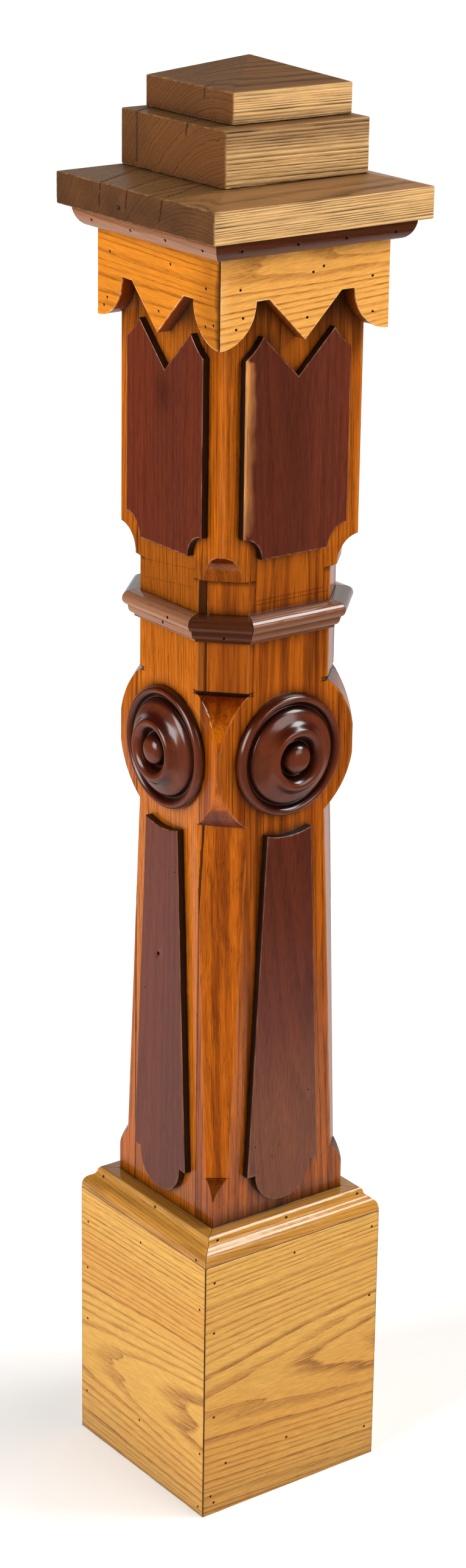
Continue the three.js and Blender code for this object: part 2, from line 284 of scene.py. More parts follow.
def wood(name, pale, line, stain, end, worn, dirt, ring_mm=4.0, lines=0.8, fade=0.45, fibres=0.5, pores=0.4,
         patches=0.5, patch_mm=60.0, roughness=0.4, coat=0.6, coat_roughness=0.15, relief_mm=0.08,
         dirt_and_shade_reach=0.012, dirt_and_shade_amount=1.0, second=None, specular=0.0):
    """Varnished timber. pale and line are the colours within a growth ring, stain is what patches turn to,
    end is multiplied over end grain, worn shows on arrises, and dirt, with painted shade, fills the corners.
    second is another pair of pale and line, shown where the mark "tone" is 1. The mark "plain" takes the
    lines away. specular is the shine of the bare wood, under the coat of varnish."""
    material = bpy.data.materials.new(name)
    material.use_nodes = True
    tree = material.node_tree
    tree.nodes.clear()
    place = node(tree, "Attribute", attribute_name="board").outputs["Vector"]

    def stretched(across_mm, along_mm, detail=2.0, roughness=0.5):
        """Noise whose blobs are so many millimetres across and along the grain."""
        scale = (1 / across_mm, 1 / across_mm, 1 / along_mm)
        mapped = node(tree, "Mapping", {"Vector": place, "Scale": scale})
        inputs = {"Vector": mapped.outputs[0], "Scale": 1.0, "Detail": detail, "Roughness": roughness}
        return node(tree, "TexNoise", inputs).outputs["Fac"]

    def ranged(value, low, high, to_low=0.0, to_high=1.0, kind="SMOOTHSTEP"):
        inputs = {"Value": value, "From Min": low, "From Max": high, "To Min": to_low, "To Max": to_high}
        return node(tree, "MapRange", inputs, interpolation_type=kind).outputs[0]

    def maths(operation, a, b=0.0, c=0.0):
        return node(tree, "Math", {0: a, 1: b, 2: c}, operation=operation).outputs[0]

    def mixed(factor, a, b, blend="MIX"):
        inputs = {FACTOR: factor, FIRST: a, SECOND: b}
        return node(tree, "Mix", inputs, data_type="RGBA", blend_type=blend).outputs[RESULT]

    flat = node(tree, "Mapping", {"Vector": place, "Scale": (1, 1, 0)})
    distance = node(tree, "VectorMath", {0: flat.outputs[0]}, operation="LENGTH").outputs["Value"]
    wander = maths("MULTIPLY", maths("SUBTRACT", stretched(7.0, 70.0), 0.5), 1.3)
    drift = maths("MULTIPLY", maths("SUBTRACT", stretched(26.0, 260.0), 0.5), 1.2 * ring_mm)
    in_rings = maths("DIVIDE", distance, 3.4 * ring_mm)
    slow = {"W": in_rings, "Scale": 1.0, "Detail": 1.0}
    years = node(tree, "TexNoise", slow, noise_dimensions="1D").outputs["Fac"]
    uneven = maths("MULTIPLY_ADD", years, 2.2 * ring_mm, drift)
    phase = maths("DIVIDE", maths("ADD", distance, maths("ADD", wander, uneven)), ring_mm)
    within = maths("FRACT", phase)
    start = ranged(within, 0.0, fade, 1.0, 0.0, "SMOOTHERSTEP")
    close = ranged(within, 0.93, 1.0)
    ring = maths("MAXIMUM", start, close)
    broken = ranged(stretched(1.6, 45.0, 3.0), 0.3, 0.62, 0.3, 1.0)
    year = node(tree, "TexWhiteNoise", {"W": maths("FLOOR", phase)}, noise_dimensions="1D").outputs["Value"]
    strength = ranged(year, 0.0, 1.0, 0.5, 1.0, "LINEAR")
    cut = node(tree, "Attribute", attribute_name="end_grain").outputs["Fac"]
    cut = ranged(cut, 0.25, 0.75)
    plain = node(tree, "Attribute", attribute_name="plain").outputs["Fac"]
    plain = maths("MAXIMUM", plain, maths("MULTIPLY", cut, 0.35))
    shown = maths("MULTIPLY", maths("MULTIPLY_ADD", plain, -lines, lines), strength)
    figure = maths("MULTIPLY", maths("MULTIPLY", ring, broken), shown)

    patch = ranged(stretched(patch_mm, patch_mm * 10 + 200, 3.0), 0.38, 0.66, 0.0, patches)
    ground = mixed(patch, linear(pale), linear(stain))
    drawn = mixed(figure, ground, linear(line))
    if second:
        tone = node(tree, "Attribute", attribute_name="tone").outputs["Fac"]
        other = mixed(figure, linear(second[0]), linear(second[1]))
        drawn = mixed(tone, drawn, other)
    streak = ranged(stretched(0.8, 42.0, 4.0, 0.6), 0.3, 0.7, 1 - 0.5 * fibres, 1 + 0.28 * fibres, "LINEAR")
    grey = node(tree, "CombineColor", {0: streak, 1: streak, 2: streak}).outputs[0]
    drawn = mixed(1.0, drawn, grey, "MULTIPLY")
    pore = ranged(stretched(0.55, 9.0, 1.0), 0.62, 0.72, 0.0, pores)
    pore = maths("MULTIPLY", pore, ranged(ring, 0.0, 0.8, 0.35, 1.0))
    drawn = mixed(pore, drawn, linear(dirt))

    drawn = mixed(cut, drawn, mixed(1.0, drawn, linear(end), "MULTIPLY"))

    # Painted shade and dirt: ambient occlusion darkens corners, recesses and gaps towards the dirt colour.
    open_sky = node(tree, "AmbientOcclusion", {"Distance": dirt_and_shade_reach}, samples=5).outputs["AO"]
    smudge = stretched(9.0, 22.0, 4.0, 0.65)
    corner = ranged(open_sky, 0.35, 0.92, dirt_and_shade_amount, 0.0, "LINEAR")
    corner = maths("MULTIPLY", corner, ranged(smudge, 0.25, 0.6, 0.55, 1.1))
    marked = node(tree, "Attribute", attribute_name="dirt_and_shade").outputs["Fac"]
    dirt_and_corner_shade = maths("MINIMUM", maths("MAXIMUM", corner, marked), 0.97)
    drawn = mixed(dirt_and_corner_shade, drawn, linear(dirt))
    arris = node(tree, "Attribute", attribute_name="wear").outputs["Fac"]
    rubbed = maths("MULTIPLY", arris, ranged(stretched(5.0, 30.0, 3.0), 0.35, 0.7, 0.05, 0.6))
    drawn = mixed(rubbed, drawn, linear(worn))

    height = maths("MULTIPLY", figure, -1.0)
    height = maths("ADD", height, maths("MULTIPLY", streak, 0.6))
    height = maths("SUBTRACT", height, maths("MULTIPLY", pore, 1.2))
    wavy = maths("MULTIPLY", stretched(14.0, 40.0, 1.0), 2.5)
    depth = relief_mm / 1000
    bump = node(tree, "Bump", {"Height": maths("ADD", height, wavy), "Distance": depth, "Strength": 1.0})
    skin = node(tree, "Bump", {"Height": wavy, "Distance": depth, "Strength": 0.7})
    dull = maths("ADD", dirt_and_corner_shade, maths("MULTIPLY", smudge, 0.4))
    gloss = ranged(dull, 0.1, 0.9, roughness - 0.05, roughness + 0.2)
    shader = node(tree, "BsdfPrincipled", {
        "Base Color": drawn, "Roughness": gloss, "Normal": bump.outputs[0], "Coat Normal": skin.outputs[0]})
    shader.inputs["IOR"].default_value = 1.5
    shader.inputs["Specular IOR Level"].default_value = specular
    shader.inputs["Coat Weight"].default_value = coat
    shader.inputs["Coat Roughness"].default_value = coat_roughness
    shader.inputs["Coat IOR"].default_value = 1.5
    output = node(tree, "OutputMaterial")
    tree.links.new(shader.outputs[0], output.inputs["Surface"])
    return material


# %% [markdown]
# The finishes differ in the timber, in the stain and in how much the varnish has worn. Ash and elm are pale
# and have open pores that line up along the rings, so dark dashes show. Walnut is close-grained and dark,
# so its rings only show as shades. End grain drinks more stain, so it is darker wherever a face cuts across
# the fibres.

# %% Finishes

# Pale ash under satin varnish: wide golden rings and dark pores, with a broken, soft shine.
base_board_ash = wood(
    "varnished_pale_ash_box", pale="#eab052", line="#96571f", stain="#de9438", end="#b08050",
    worn="#e8c083", dirt="#5a3313", ring_mm=4.8, lines=0.95, fade=0.5, pores=0.55, roughness=0.42, coat=0.7,
    coat_roughness=0.2, relief_mm=0.05, dirt_and_shade_amount=0.75)
# The same timber under a glossy, olive old varnish: sharp bright lines along the curves, over weak figure.
base_moulding_ash = wood(
    "glossy_olive_ash_moulding", pale="#d2933f", line="#845420", stain="#bc7c30", end="#906040",
    worn="#d9b070", dirt="#4a2d12", ring_mm=3.2, lines=0.6, pores=0.5, roughness=0.3, coat=0.9,
    coat_roughness=0.1, relief_mm=0.08, dirt_and_shade_amount=0.9)
# Ash under amber varnish: small stains break the rings, so the face looks mottled from deep orange to brown.
post_ash = wood(
    "amber_varnished_ash_post", pale="#b85c08", line="#3e1803", stain="#7c3504", end="#8a5a40",
    worn="#c87c38", dirt="#241005", ring_mm=3.6, lines=0.85, fade=0.4, fibres=0.9, pores=0.6, patches=0.85,
    patch_mm=8.0, roughness=0.38, coat=1.0, coat_roughness=0.14, relief_mm=0.07,
    second=("#ca6c14", "#6c340a"))
# Stained walnut: a close grain that shows only as red-brown shades. Its second pair is the pale sapwood.
panel_walnut = wood(
    "stained_walnut_panel", pale="#6a2c16", line="#471c10", stain="#5a281a", end="#806050", worn="#a06a4a",
    dirt="#120806", ring_mm=7.0, lines=0.5, fade=0.7, fibres=0.7, pores=0.3, patches=0.7, roughness=0.36,
    coat=1.0, coat_roughness=0.2, relief_mm=0.04, second=("#d68c48", "#9c5c28"), dirt_and_shade_reach=0.006)
# Turned walnut, polished on the lathe: almost no figure, black grooves and small bright highlights.
rosette_walnut = wood(
    "turned_glossy_walnut", pale="#6d3119", line="#3f1d0c", stain="#4e2312", end="#a08070", worn="#8a4a30",
    dirt="#0a0504", ring_mm=8.0, lines=0.35, fade=0.8, fibres=0.35, pores=0.15, patches=0.6, roughness=0.25,
    coat=1.0, coat_roughness=0.2, relief_mm=0.03, dirt_and_shade_reach=0.008)
# Glossy walnut mouldings: long white reflections over brown. Its second pair is the faded side.
moulding_walnut = wood(
    "glossy_walnut_moulding", pale="#5e3019", line="#3c1d0e", stain="#4d2613", end="#806050", worn="#b08058",
    dirt="#180b06", ring_mm=4.0, lines=0.5, fade=0.6, fibres=0.6, pores=0.35, patches=0.5, roughness=0.32,
    coat=1.0, coat_roughness=0.1, relief_mm=0.05, dirt_and_shade_reach=0.008, second=("#9c6a4c", "#68442e"))
# Ash under golden varnish: bold rings on a light ground. Its second pair is the more orange side.
skirt_ash = wood(
    "golden_varnished_ash_skirt", pale="#e6a24c", line="#935320", stain="#dc9844", end="#9a6238",
    worn="#f0c488", dirt="#3a1c08", ring_mm=4.2, lines=0.95, fade=0.45, pores=0.55, roughness=0.38, coat=0.9,
    coat_roughness=0.16, relief_mm=0.06, second=("#d47f20", "#8e4c10"))
# Weathered elm with hardly any varnish left: dry and dull. Its second pair is the bleached long sides.
cap_wood = wood(
    "worn_varnished_elm_cap", pale="#875c34", line="#3a2716", stain="#6c4a2c", end="#d8c4ae", worn="#a87c48",
    dirt="#2a190c", ring_mm=3.2, lines=0.9, fade=0.55, fibres=0.6, pores=0.35, patches=0.5, roughness=0.5,
    coat=0.05, coat_roughness=0.3, relief_mm=0.1, second=("#dcae70", "#b07a40"), specular=0.15)

# %% [markdown]
# The walls of the panels were painted black to look like ebony. That is a thin, glossy, nearly black coat
# in which the brush left soft streaks, so it needs no figure, only low colour and small changes in gloss.

# %% Black paint on the panels' edges


def ebonised():
    """Black brushed varnish: noise shifts the colour from black to dark brown, and the gloss with it."""
    material = bpy.data.materials.new("ebonised_edge")
    material.use_nodes = True
    tree = material.node_tree
    tree.nodes.clear()
    place = node(tree, "Attribute", attribute_name="board").outputs["Vector"]
    brush = node(tree, "Mapping", {"Vector": place, "Scale": (0.5, 0.5, 0.06)})
    noise = node(tree, "TexNoise", {"Vector": brush.outputs[0], "Scale": 1.0, "Detail": 3.0}).outputs["Fac"]
    shades = {FACTOR: noise, FIRST: linear("#070402"), SECOND: linear("#1c0f08")}
    colour = node(tree, "Mix", shades, data_type="RGBA")
    gloss = node(tree, "MapRange", {"Value": noise, "To Min": 0.22, "To Max": 0.45}).outputs[0]
    bump = node(tree, "Bump", {"Height": noise, "Distance": 0.00005})
    shader = node(tree, "BsdfPrincipled", {
        "Base Color": colour.outputs[RESULT], "Roughness": gloss, "Normal": bump.outputs[0]})
    shader.inputs["IOR"].default_value = 1.5
    output = node(tree, "OutputMaterial")
    tree.links.new(shader.outputs[0], output.inputs["Surface"])
    return material


ebonised_edge = ebonised()
print("finishes:", len(bpy.data.materials))

# %% [markdown]
# ## Post boards
# Four boards make the shaft. The corners are chamfered with stops at the foot, round lobes behind the
# rosettes, a saw kerf, a neck and a cove. Cutting all that with booleans leaves ragged meshes. Here the
# width of the chamfer is a function of height, and each row of points is the section of the board at that
# height.

# %% Width of the chamfer at each height


def stretch(low, high, step, width):
    """Heights from low to high about a step apart, with the chamfer's width at each."""
    z = np.linspace(low, high, max(2, int((high - low) / step) + 1))
    return np.column_stack([z, width(z)])


def chamfer_rows():
    """Height and chamfer from the floor to the top: straight, curved stop, taper, lobe, kerf, neck, cove
    and straight again."""
    nose = FOOT_CHAMFER - STOP_STEP - EASED_EDGE
    slope = (SHAFT_CHAMFER - FOOT_CHAMFER) / TAPER_LENGTH
    cove_z = ledge_z + LEDGE

    def straight(z):
        return np.full_like(z, EASED_EDGE)

    def stop(z):
        return EASED_EDGE + nose * ((z - foot_block_top) / FOOT_STOP) ** STOP_CURVE

    def taper(z):
        return FOOT_CHAMFER + slope * (z - foot_stop_top)

    def lobe(z):
        return np.maximum(EASED_EDGE, half - np.sqrt(half**2 - (z - rosette_z) ** 2))

    def kerf(z):
        return np.full_like(z, NECK_CHAMFER + KERF_DEPTH)

    def neck(z):
        return np.full_like(z, NECK_CHAMFER)

    def cove(z):
        return np.maximum(EASED_EDGE, np.sqrt(np.maximum(cove_radius**2 - (z - cove_z) ** 2, 0)) - EASED_EDGE)

    kerf_top = lobe_top + STEP + KERF_WIDTH
    return np.concatenate([
        stretch(0, moulding_top - 4, 25, straight),
        stretch(moulding_top - 2, foot_block_top - 1, 2, straight),
        stretch(foot_block_top, foot_stop_top, 0.8, stop),
        stretch(foot_stop_top + STEP, lobe_bottom - STEP, 2.4, taper),
        stretch(lobe_bottom, lobe_top, 0.9, lobe),
        stretch(lobe_top + STEP, kerf_top, 0.7, kerf),
        stretch(kerf_top + STEP, ledge_z, 0.9, neck),
        stretch(cove_z, cove_top, 0.6, cove),
        stretch(cove_top + 1, post_top, 2.8, straight),
    ])


rows = chamfer_rows()
print("rows of the post boards:", len(rows))

# %% Section of a board at every height

SEAM_EDGE = 0.25  # the board's arris along a seam
SEAM_LINE = 1.0  # width of the dark line along a seam or a mitre
ROUND_OFF = 0.2  # how far a sharp arris is rubbed down
FACET_STEPS = np.array([0.0, 0.02, 0.08, 0.2, 0.35, 0.5, 0.65, 0.8, 0.92, 0.98, 1.0])
even_steps = np.linspace(0, 1, 33)
FLAT_STEPS = 0.35 * ((1 - np.cos(np.pi * even_steps)) / 2) + 0.65 * even_steps  # a little closer at the ends


def chamfer_edges(face_leg, side_leg, reach):
    """Where the chamfer leaves the face and where it meets the board's edge, as x and distance out."""
    flat = np.minimum(half - face_leg, reach - SEAM_EDGE)
    lowest = inner + SEAM_EDGE
    at_lowest = half - face_leg + face_leg * (half - lowest) / side_leg
    edge = np.minimum(reach, at_lowest)
    out = half - side_leg * (edge - half + face_leg) / face_leg
    out = np.clip(np.where(half - face_leg > flat, half - SEAM_EDGE, out), lowest, half - SEAM_EDGE)
    return flat, edge, out


def post_board(reach, near_side, seed):
    """The board as rows of points. Each row runs up one edge, across the chamfer, the face and the other
    chamfer, and down the other edge. near_side is -1 or 1 for the corner whose chamfer was planed a little
    out of square, and 0 for none. Also returns where the arrises and the chamfers are."""
    z, chamfer = rows.T
    skew = np.interp(z, [foot_block_top, foot_stop_top, lobe_bottom - STEP, lobe_bottom], [0, 2.5, 1.3, 0])
    sides = []
    for sign in (-1, 1):
        off = skew * (sign == near_side)
        leg = off if reach > inner else -off
        flat, edge, out = chamfer_edges(chamfer + leg, chamfer - leg, reach)
        strip_x = np.stack([edge, edge, edge], axis=1)
        strip_out = np.stack([np.full_like(z, inner), (inner + out) / 2, out - 0.05 * (out - inner)], axis=1)
        t = FACET_STEPS[None, :]
        facet_x = edge[:, None] + (flat - edge)[:, None] * t
        facet_out = out[:, None] + (half - out)[:, None] * t
        length = np.hypot(edge - flat, half - out)
        rub = np.minimum(ROUND_OFF, 0.08 * length)
        facet_x[:, 0] -= 0.92 * rub
        facet_out[:, 0] -= 0.38 * rub
        facet_x[:, -1] -= 0.38 * rub
        facet_out[:, -1] -= 0.92 * rub
        sides.append((sign * np.hstack([strip_x, facet_x]), np.hstack([strip_out, facet_out]), sign * flat))
    (left_x, left_out, left_flat), (right_x, right_out, right_flat) = sides
    face_x = left_flat[:, None] + (right_flat - left_flat)[:, None] * FLAT_STEPS[None, 1:-1]
    face_out = np.full_like(face_x, half)
    x = np.hstack([left_x, face_x, right_x[:, ::-1]])
    out = np.hstack([left_out, face_out, right_out[:, ::-1]])
    points = np.stack([x, -out, np.broadcast_to(z[:, None], x.shape)], axis=-1)
    wear = np.zeros(x.shape)
    arrises = [3, 13, x.shape[1] - 14, x.shape[1] - 4]
    wear[:, arrises] = 1.0
    nick = np.maximum(smooth_noise(points, 11.0, seed) - 0.25, 0) * 0.8
    nick = nick + 0.12 * smooth_noise(points, 3.5, seed)
    points[..., 1] += wear * nick
    points[..., 0] -= wear * nick * np.sign(x) * 0.7
    points[..., 1] += 0.08 * smooth_noise(points, 45.0, seed + 2) * (out > half - 0.01)
    on_facet = np.zeros(x.shape, bool)
    on_facet[:, arrises[0] : arrises[1] + 1] = True
    on_facet[:, arrises[2] : arrises[3] + 1] = True
    return points, wear, on_facet


# %% Dirt and painted shade on the post

kerf_low = lobe_top - 0.5
kerf_high = lobe_top + KERF_WIDTH + 1.5


def band_dirt_and_shade(points):
    """Dirt in the saw kerf, painted shadow under the ledge, both on the chamfers only, and darkening along
    the
    foot: bands in height that fade out."""
    x, y, z = np.moveaxis(points, -1, 0)
    chamfered = np.clip((np.abs(x) - y - (2 * half - NECK_CHAMFER + 6)) / -4, 0, 1)
    on_chamfer = (np.abs(x) > 38) * chamfered
    kerf = ((z > kerf_low) & (z < kerf_high)) * on_chamfer
    # Painted shadow of the ledge on the chamfers just below it.
    ledge_shadow = np.clip((z - ledge_z + 7) / 7, 0, 1) * (z <= ledge_z) * 0.85 * on_chamfer
    foot = np.clip((moulding_top + 18 - z) / 18, 0, 1) * 0.65
    return np.clip(kerf + ledge_shadow + foot, 0, 1)


# Ends of the scratches across each face: x and z of the left end, then of the right end
SCRIBED_LINES = {"front": [(-39, 878.3, 42, 878.3), (-37, 881.7, 36, 881.9)],
                 "left": [(-37, 899, 42, 908), (-37, 883, 37, 891)]}


def scribed(x, z, ends):
    """A scratch across the face, filled with dirt: 1 on it, fading out over a millimetre beside it."""
    x_a, z_a, x_b, z_b = ends
    away_from = np.abs(z - z_a - (x - x_a) * (z_b - z_a) / (x_b - x_a))
    return np.clip(1.2 - away_from / 0.9, 0, 1) * (x > x_a) * (x < x_b)


COLLAR_DIRT = {"left": 0.4, "front": 0.18}


def side_dirt_and_shade(side, points, on_facet, seed):
    """All the dirt and painted shade on one side of the post: each point keeps the largest of the amounts
    that reach it.
    """
    x, _, z = np.moveaxis(points, -1, 0)
    on_neck = (z > lobe_top + STEP) & (z < collar_low[2])
    above_collar = z > collar_high[2] - 4
    up_the_neck = np.clip((z - lobe_top) / 20, 0, 1) * (z < collar_low[2])
    lobe_foot = np.clip((lobe_bottom + 20 - z) / 8, 0, 1) * (z > lobe_bottom - STEP)
    by_collar = np.clip((ledge_z + 28 - z) / 12, 0, 1) * above_collar
    # Painted shadow under the skirt: darkest up in its notches, fading out below it.
    skirt_shadow = np.clip((z - skirt_low[2] + 42) / 66, 0, 1)
    cloudy = 0.85 + 0.3 * smooth_noise(points, 25.0, seed)
    amounts = [
        band_dirt_and_shade(points),
        # Painted shade in the hollow of the cove.
        0.45 * (on_facet & (z > ledge_z + LEDGE / 2) & (z < cove_top)),
        0.6 * (on_facet & (z > foot_block_top) & (z < foot_stop_top)),
        0.3 * lobe_foot * on_facet,
        COLLAR_DIRT.get(side, 0.25) * by_collar,
        0.95 * skirt_shadow * cloudy,
        0.2 * (on_facet & on_neck),
        *(0.6 * scribed(x, z, ends) for ends in SCRIBED_LINES.get(side, ())),
    ]
    if side == "left":
        near_strip = on_facet & (x > 0)
        amounts.append(0.35 * np.clip((moulding_top + 75 - z) / 40, 0, 1))
        amounts.append(0.15 * up_the_neck)
        amounts.append(0.5 * (near_strip & on_neck))
    if side == "front":
        far_edge = np.clip((x - half + 24) / 10, 0, 1) * (z > moulding_top) * (z < collar_low[2])
        amounts.append(0.22 * far_edge)
        amounts.append(0.36 * np.clip((x - 5) / 20, 0, 1) * up_the_neck)
    dirt_and_shade = np.maximum.reduce(amounts)
    if side == "left":
        dirt_and_shade[near_strip & above_collar & (z < ledge_z)] = 0.93
    return dirt_and_shade


# %% Post boards

heart_of_post = {"front": (12.0, -half + 51), "right": (-20.0, -half + 60), "back": (15.0, -half + 45),
                 "left": (-70.0, -half + 60)}
OUT_OF_SQUARE = {"front": -1, "left": 1}  # the corner that the two shown sides share
POST_TONE = {"front": 0.0, "left": 0.85}  # share of the paler, more orange pair of colours
for i, side in enumerate(SIDES):
    wide = side in ("front", "back")
    reach = half if wide else inner - GAP
    points, wear, on_facet = post_board(reach, OUT_OF_SQUARE.get(side, 0), seed=i)
    x, _, z = np.moveaxis(points, -1, 0)
    tone = np.full(wear.shape, POST_TONE.get(side, 0.4))
    upper = np.clip((z - ledge_z + 30) / 60, 0, 1)
    tone = np.maximum(tone, upper * (0.3 + 0.7 * (side == "left")))
    dirt_and_shade = side_dirt_and_shade(side, points, on_facet, i)
    if not wide:
        by_seam = np.abs(x) > inner - GAP - SEAM_LINE
        dirt_and_shade = np.maximum(dirt_and_shade, 0.85 * by_seam)
        wear = wear * ~by_seam
    build(f"post_board_{side}", tube(points), [post_ash], heart=heart_of_post[side],
          lean=(0.012, -0.02), seed=i + 1, turn=90 * i,
          marks={"wear": wear, "dirt_and_shade": dirt_and_shade, "tone": tone, "plain": 0.8 * on_facet})
print("post boards:", [n for k, n in pieces_made.items() if k.startswith("post")], "triangles")

# %% [markdown]
# ## Boards planted on the faces
# Panels, skirt and the box at the foot are flat boards whose outline carries the character. Extruding a
# curve and bevelling it would do, but the mitred ends get wider with depth. So an outline is a function of
# the distance out from the post. Rings of it at several distances form the walls and the eased front edge,
# and a Delaunay mesh fills the face through rings of points around each nail hole.

# %% Outlines


def arc(x, z, radius, start, end, step=3.0):
    """Points on a circle about (x, z) from one angle to another in degrees, about a step apart."""
    count = max(3, int(abs(math.radians(end - start)) * radius / step) + 1)
    angle = np.radians(np.linspace(start, end, count))
    return np.column_stack([x + radius * np.cos(angle), z + radius * np.sin(angle)])


def filled_in(corners, like=None, step=3.0):
    """The outline with more points on its long straight stretches, as many as the like outline needs."""
    measured = corners if like is None else like
    lengths = np.linalg.norm(np.roll(measured, -1, axis=0) - measured, axis=1)
    parts = []
    for a, b, length in zip(corners, np.roll(corners, -1, axis=0), lengths):
        share = np.linspace(0, 1, max(1, int(length / step)), endpoint=False)
        parts.append(a + (b - a) * share[:, None])
    return np.vstack(parts)


def mirrored(right):
    """A right half from the middle out and up, then its mirror image without the points on the middle."""
    beside = right[right[:, 0] > 1e-6]
    return np.vstack([right, beside[::-1] * (-1, 1)])


def inset(outline, by):
    """Each point moved inwards along the bisector of its corner, by one distance or by its own."""
    ahead = np.roll(outline, -1, axis=0) - outline
    ahead /= np.linalg.norm(ahead, axis=1)[:, None]
    behind = np.roll(ahead, 1, axis=0)
    normal_a = ahead[:, ::-1] * (-1, 1)
    normal_b = behind[:, ::-1] * (-1, 1)
    total = normal_a + normal_b
    share = np.maximum(1 + (normal_a * normal_b).sum(1), 0.35)
    return outline + total * (by / share)[:, None]


def inside(points, outline):
    """True for each point that a ray to the right crosses the outline from an odd number of times."""
    a, b = outline, np.roll(outline, -1, axis=0)
    x, z = points[:, 0][:, None], points[:, 1][:, None]
    crosses = (a[:, 1] > z) != (b[:, 1] > z)
    rise = np.where(b[:, 1] == a[:, 1], 1e-9, b[:, 1] - a[:, 1])
    at = a[:, 0] + (z - a[:, 1]) * (b[:, 0] - a[:, 0]) / rise
    return (crosses & (x < at)).sum(1) % 2 == 1


# %% A planted board

HOLE = 1.0  # radius of a nail hole, mm
PIT_RADII = (1.5, 1.05, 0.75)  # rings of points around a pit, as shares of its radius
PIT_DEPTHS = (0.0, 0.3, 1.76)  # depth at each of those rings, mm
PIT_BOTTOM = 2.2
PIT_CORNERS = 10
FILL_STEP = 9.0  # distance between the points that fill a face
CLEAR_OF_EDGE = 3.0


def filling(edge, pits, seed):
    """Points that fill a face inside its edge: a lattice shaken by a quarter of its step and kept clear of
    the edge, then three rings and a middle for each pit. Also returns the edges of the rings, which the
    mesh must keep."""
    low, high = edge.min(0), edge.max(0)
    across, upward = (np.arange(low[k], high[k], FILL_STEP) for k in (0, 1))
    spots = np.stack(np.meshgrid(across, upward), -1).reshape(-1, 2)
    spots = spots + 0.25 * FILL_STEP * np.random.default_rng(seed).uniform(-1, 1, spots.shape)
    far = np.min(np.linalg.norm(spots[:, None] - edge[None], axis=2), axis=1) > CLEAR_OF_EDGE
    keep = inside(spots, edge) & far
    for x, z, size in pits:
        keep &= np.hypot(spots[:, 0] - x, spots[:, 1] - z) > 3.0 * size
    points = [spots[keep]]
    start = len(edge) + int(keep.sum())
    angle = np.linspace(0, 2 * np.pi, PIT_CORNERS, endpoint=False)
    held = []
    for x, z, size in pits:
        for share in PIT_RADII:
            radius = share * size
            points.append(np.column_stack([x + radius * np.cos(angle), z + radius * np.sin(angle)]))
            held += [(start + k, start + (k + 1) % PIT_CORNERS) for k in range(PIT_CORNERS)]
            start += PIT_CORNERS
        points.append(np.array([[x, z]]))
        start += 1
    return np.vstack(points), held


def pit_depth(points, pits):
    """How far the pits sink each point of the face, in millimetres."""
    depth = np.zeros(len(points))
    for x, z, size in pits:
        reach = np.hypot(points[:, 0] - x, points[:, 1] - z) / size
        sunk = np.interp(reach, [0, *PIT_RADII[::-1]], [PIT_BOTTOM, *PIT_DEPTHS[::-1]])
        depth = np.maximum(depth, sunk)
    return depth


def planted(outline, back, front, ease, holes=(), seed=0, chips=0.5, rims=(0.8,)):
    """Rings of the outline from the back to the front, the last ones around a quarter circle of radius ease
    and then flat on the face, each rim further in. The rest of the face is triangulated, with a round pit
    at each hole, (x, z) or (x, z, radius). chips is how far the front arris is knocked in. Returns the
    shape, its marks and which faces are walls."""
    pits = [(*hole, HOLE)[:3] for hole in holes]
    quarter = np.linspace(0, np.pi / 2, 4)
    levels = [(back, 0.0), (front - ease - 1.0, 0.0)]
    levels += [(front - ease + ease * math.sin(a), ease * (1 - math.cos(a))) for a in quarter]
    eased = len(levels)
    levels += [(front, ease + rim) for rim in rims]
    rings = []
    for k, (out, by) in enumerate(levels):
        ring = outline(out)
        place = np.column_stack([ring[:, 0], np.full(len(ring), out), ring[:, 1]])
        nick = np.maximum(smooth_noise(place, 8.0, seed) - 0.3, 0) * chips if 2 <= k < eased else 0.0
        rings.append(np.insert(inset(ring, by + nick * min(1.0, k - 1)), 1, -(half + out), axis=1))
    walls = np.stack(rings)
    count = walls.shape[1]
    edge = walls[-1][:, [0, 2]]
    inner_points, held = filling(edge, pits, seed)
    plane = np.vstack([edge, inner_points])
    filled = delaunay_2d_cdt([tuple(p) for p in plane.tolist()], held, [list(range(count))], 1, 1e-6)
    source = np.array([origin[0] for origin in filled[3]])
    triangles = source[np.array(filled[2])]
    depth = pit_depth(inner_points, pits)
    wave = 0.1 * smooth_noise(np.insert(inner_points, 1, 0, axis=1), 70.0, seed)
    face = np.insert(inner_points, 1, -(half + front) + depth + wave, axis=1)
    points = np.vstack([walls.reshape(-1, 3), face])
    before = (len(levels) - 1) * count
    faces = grid_faces(len(levels), count).tolist()
    wall_count = 3 * count
    faces += [list(range(count))[::-1]]
    faces += (triangles + before).tolist()
    wear = np.zeros(len(points))
    wear[2 * count : eased * count] = 1.0
    dirt_and_shade = np.zeros(len(points))
    dirt_and_shade[before + count :] = np.clip(depth / 0.3, 0, 1)
    is_wall = np.zeros(len(faces), np.int32)
    is_wall[:wall_count] = 1
    return (points, faces), {"wear": wear, "dirt_and_shade": dirt_and_shade}, is_wall


# %% [markdown]
# ## Box at the foot
# Four wide ash boards stand around the foot, mitred at the corners, with the grain running level. The nails
# were set below the surface and the holes filled with dirt. A mitre shows as a thin dark line, because both
# edges are eased and the gap has filled with dirt. The dark line could be a strip of its own, but a mark on
# the edges is enough.

# %% Base boards

FRONT_BASE_NAILS = [
    (-91, 245), (-91, 193), (-90, 104), (-89, 12), (-92.7, 20), (-75.5, 50), (-4, 53), (91, 32), (93, 248),
    (92.5, 175), (1, 248.5)]
LEFT_BASE_NAILS = [
    (-90, 229), (-91, 179.5), (-91, 124), (-92.5, 43), (-2, 245), (93, 217), (-3, 54), (95.5, 66), (93.6, 8)]


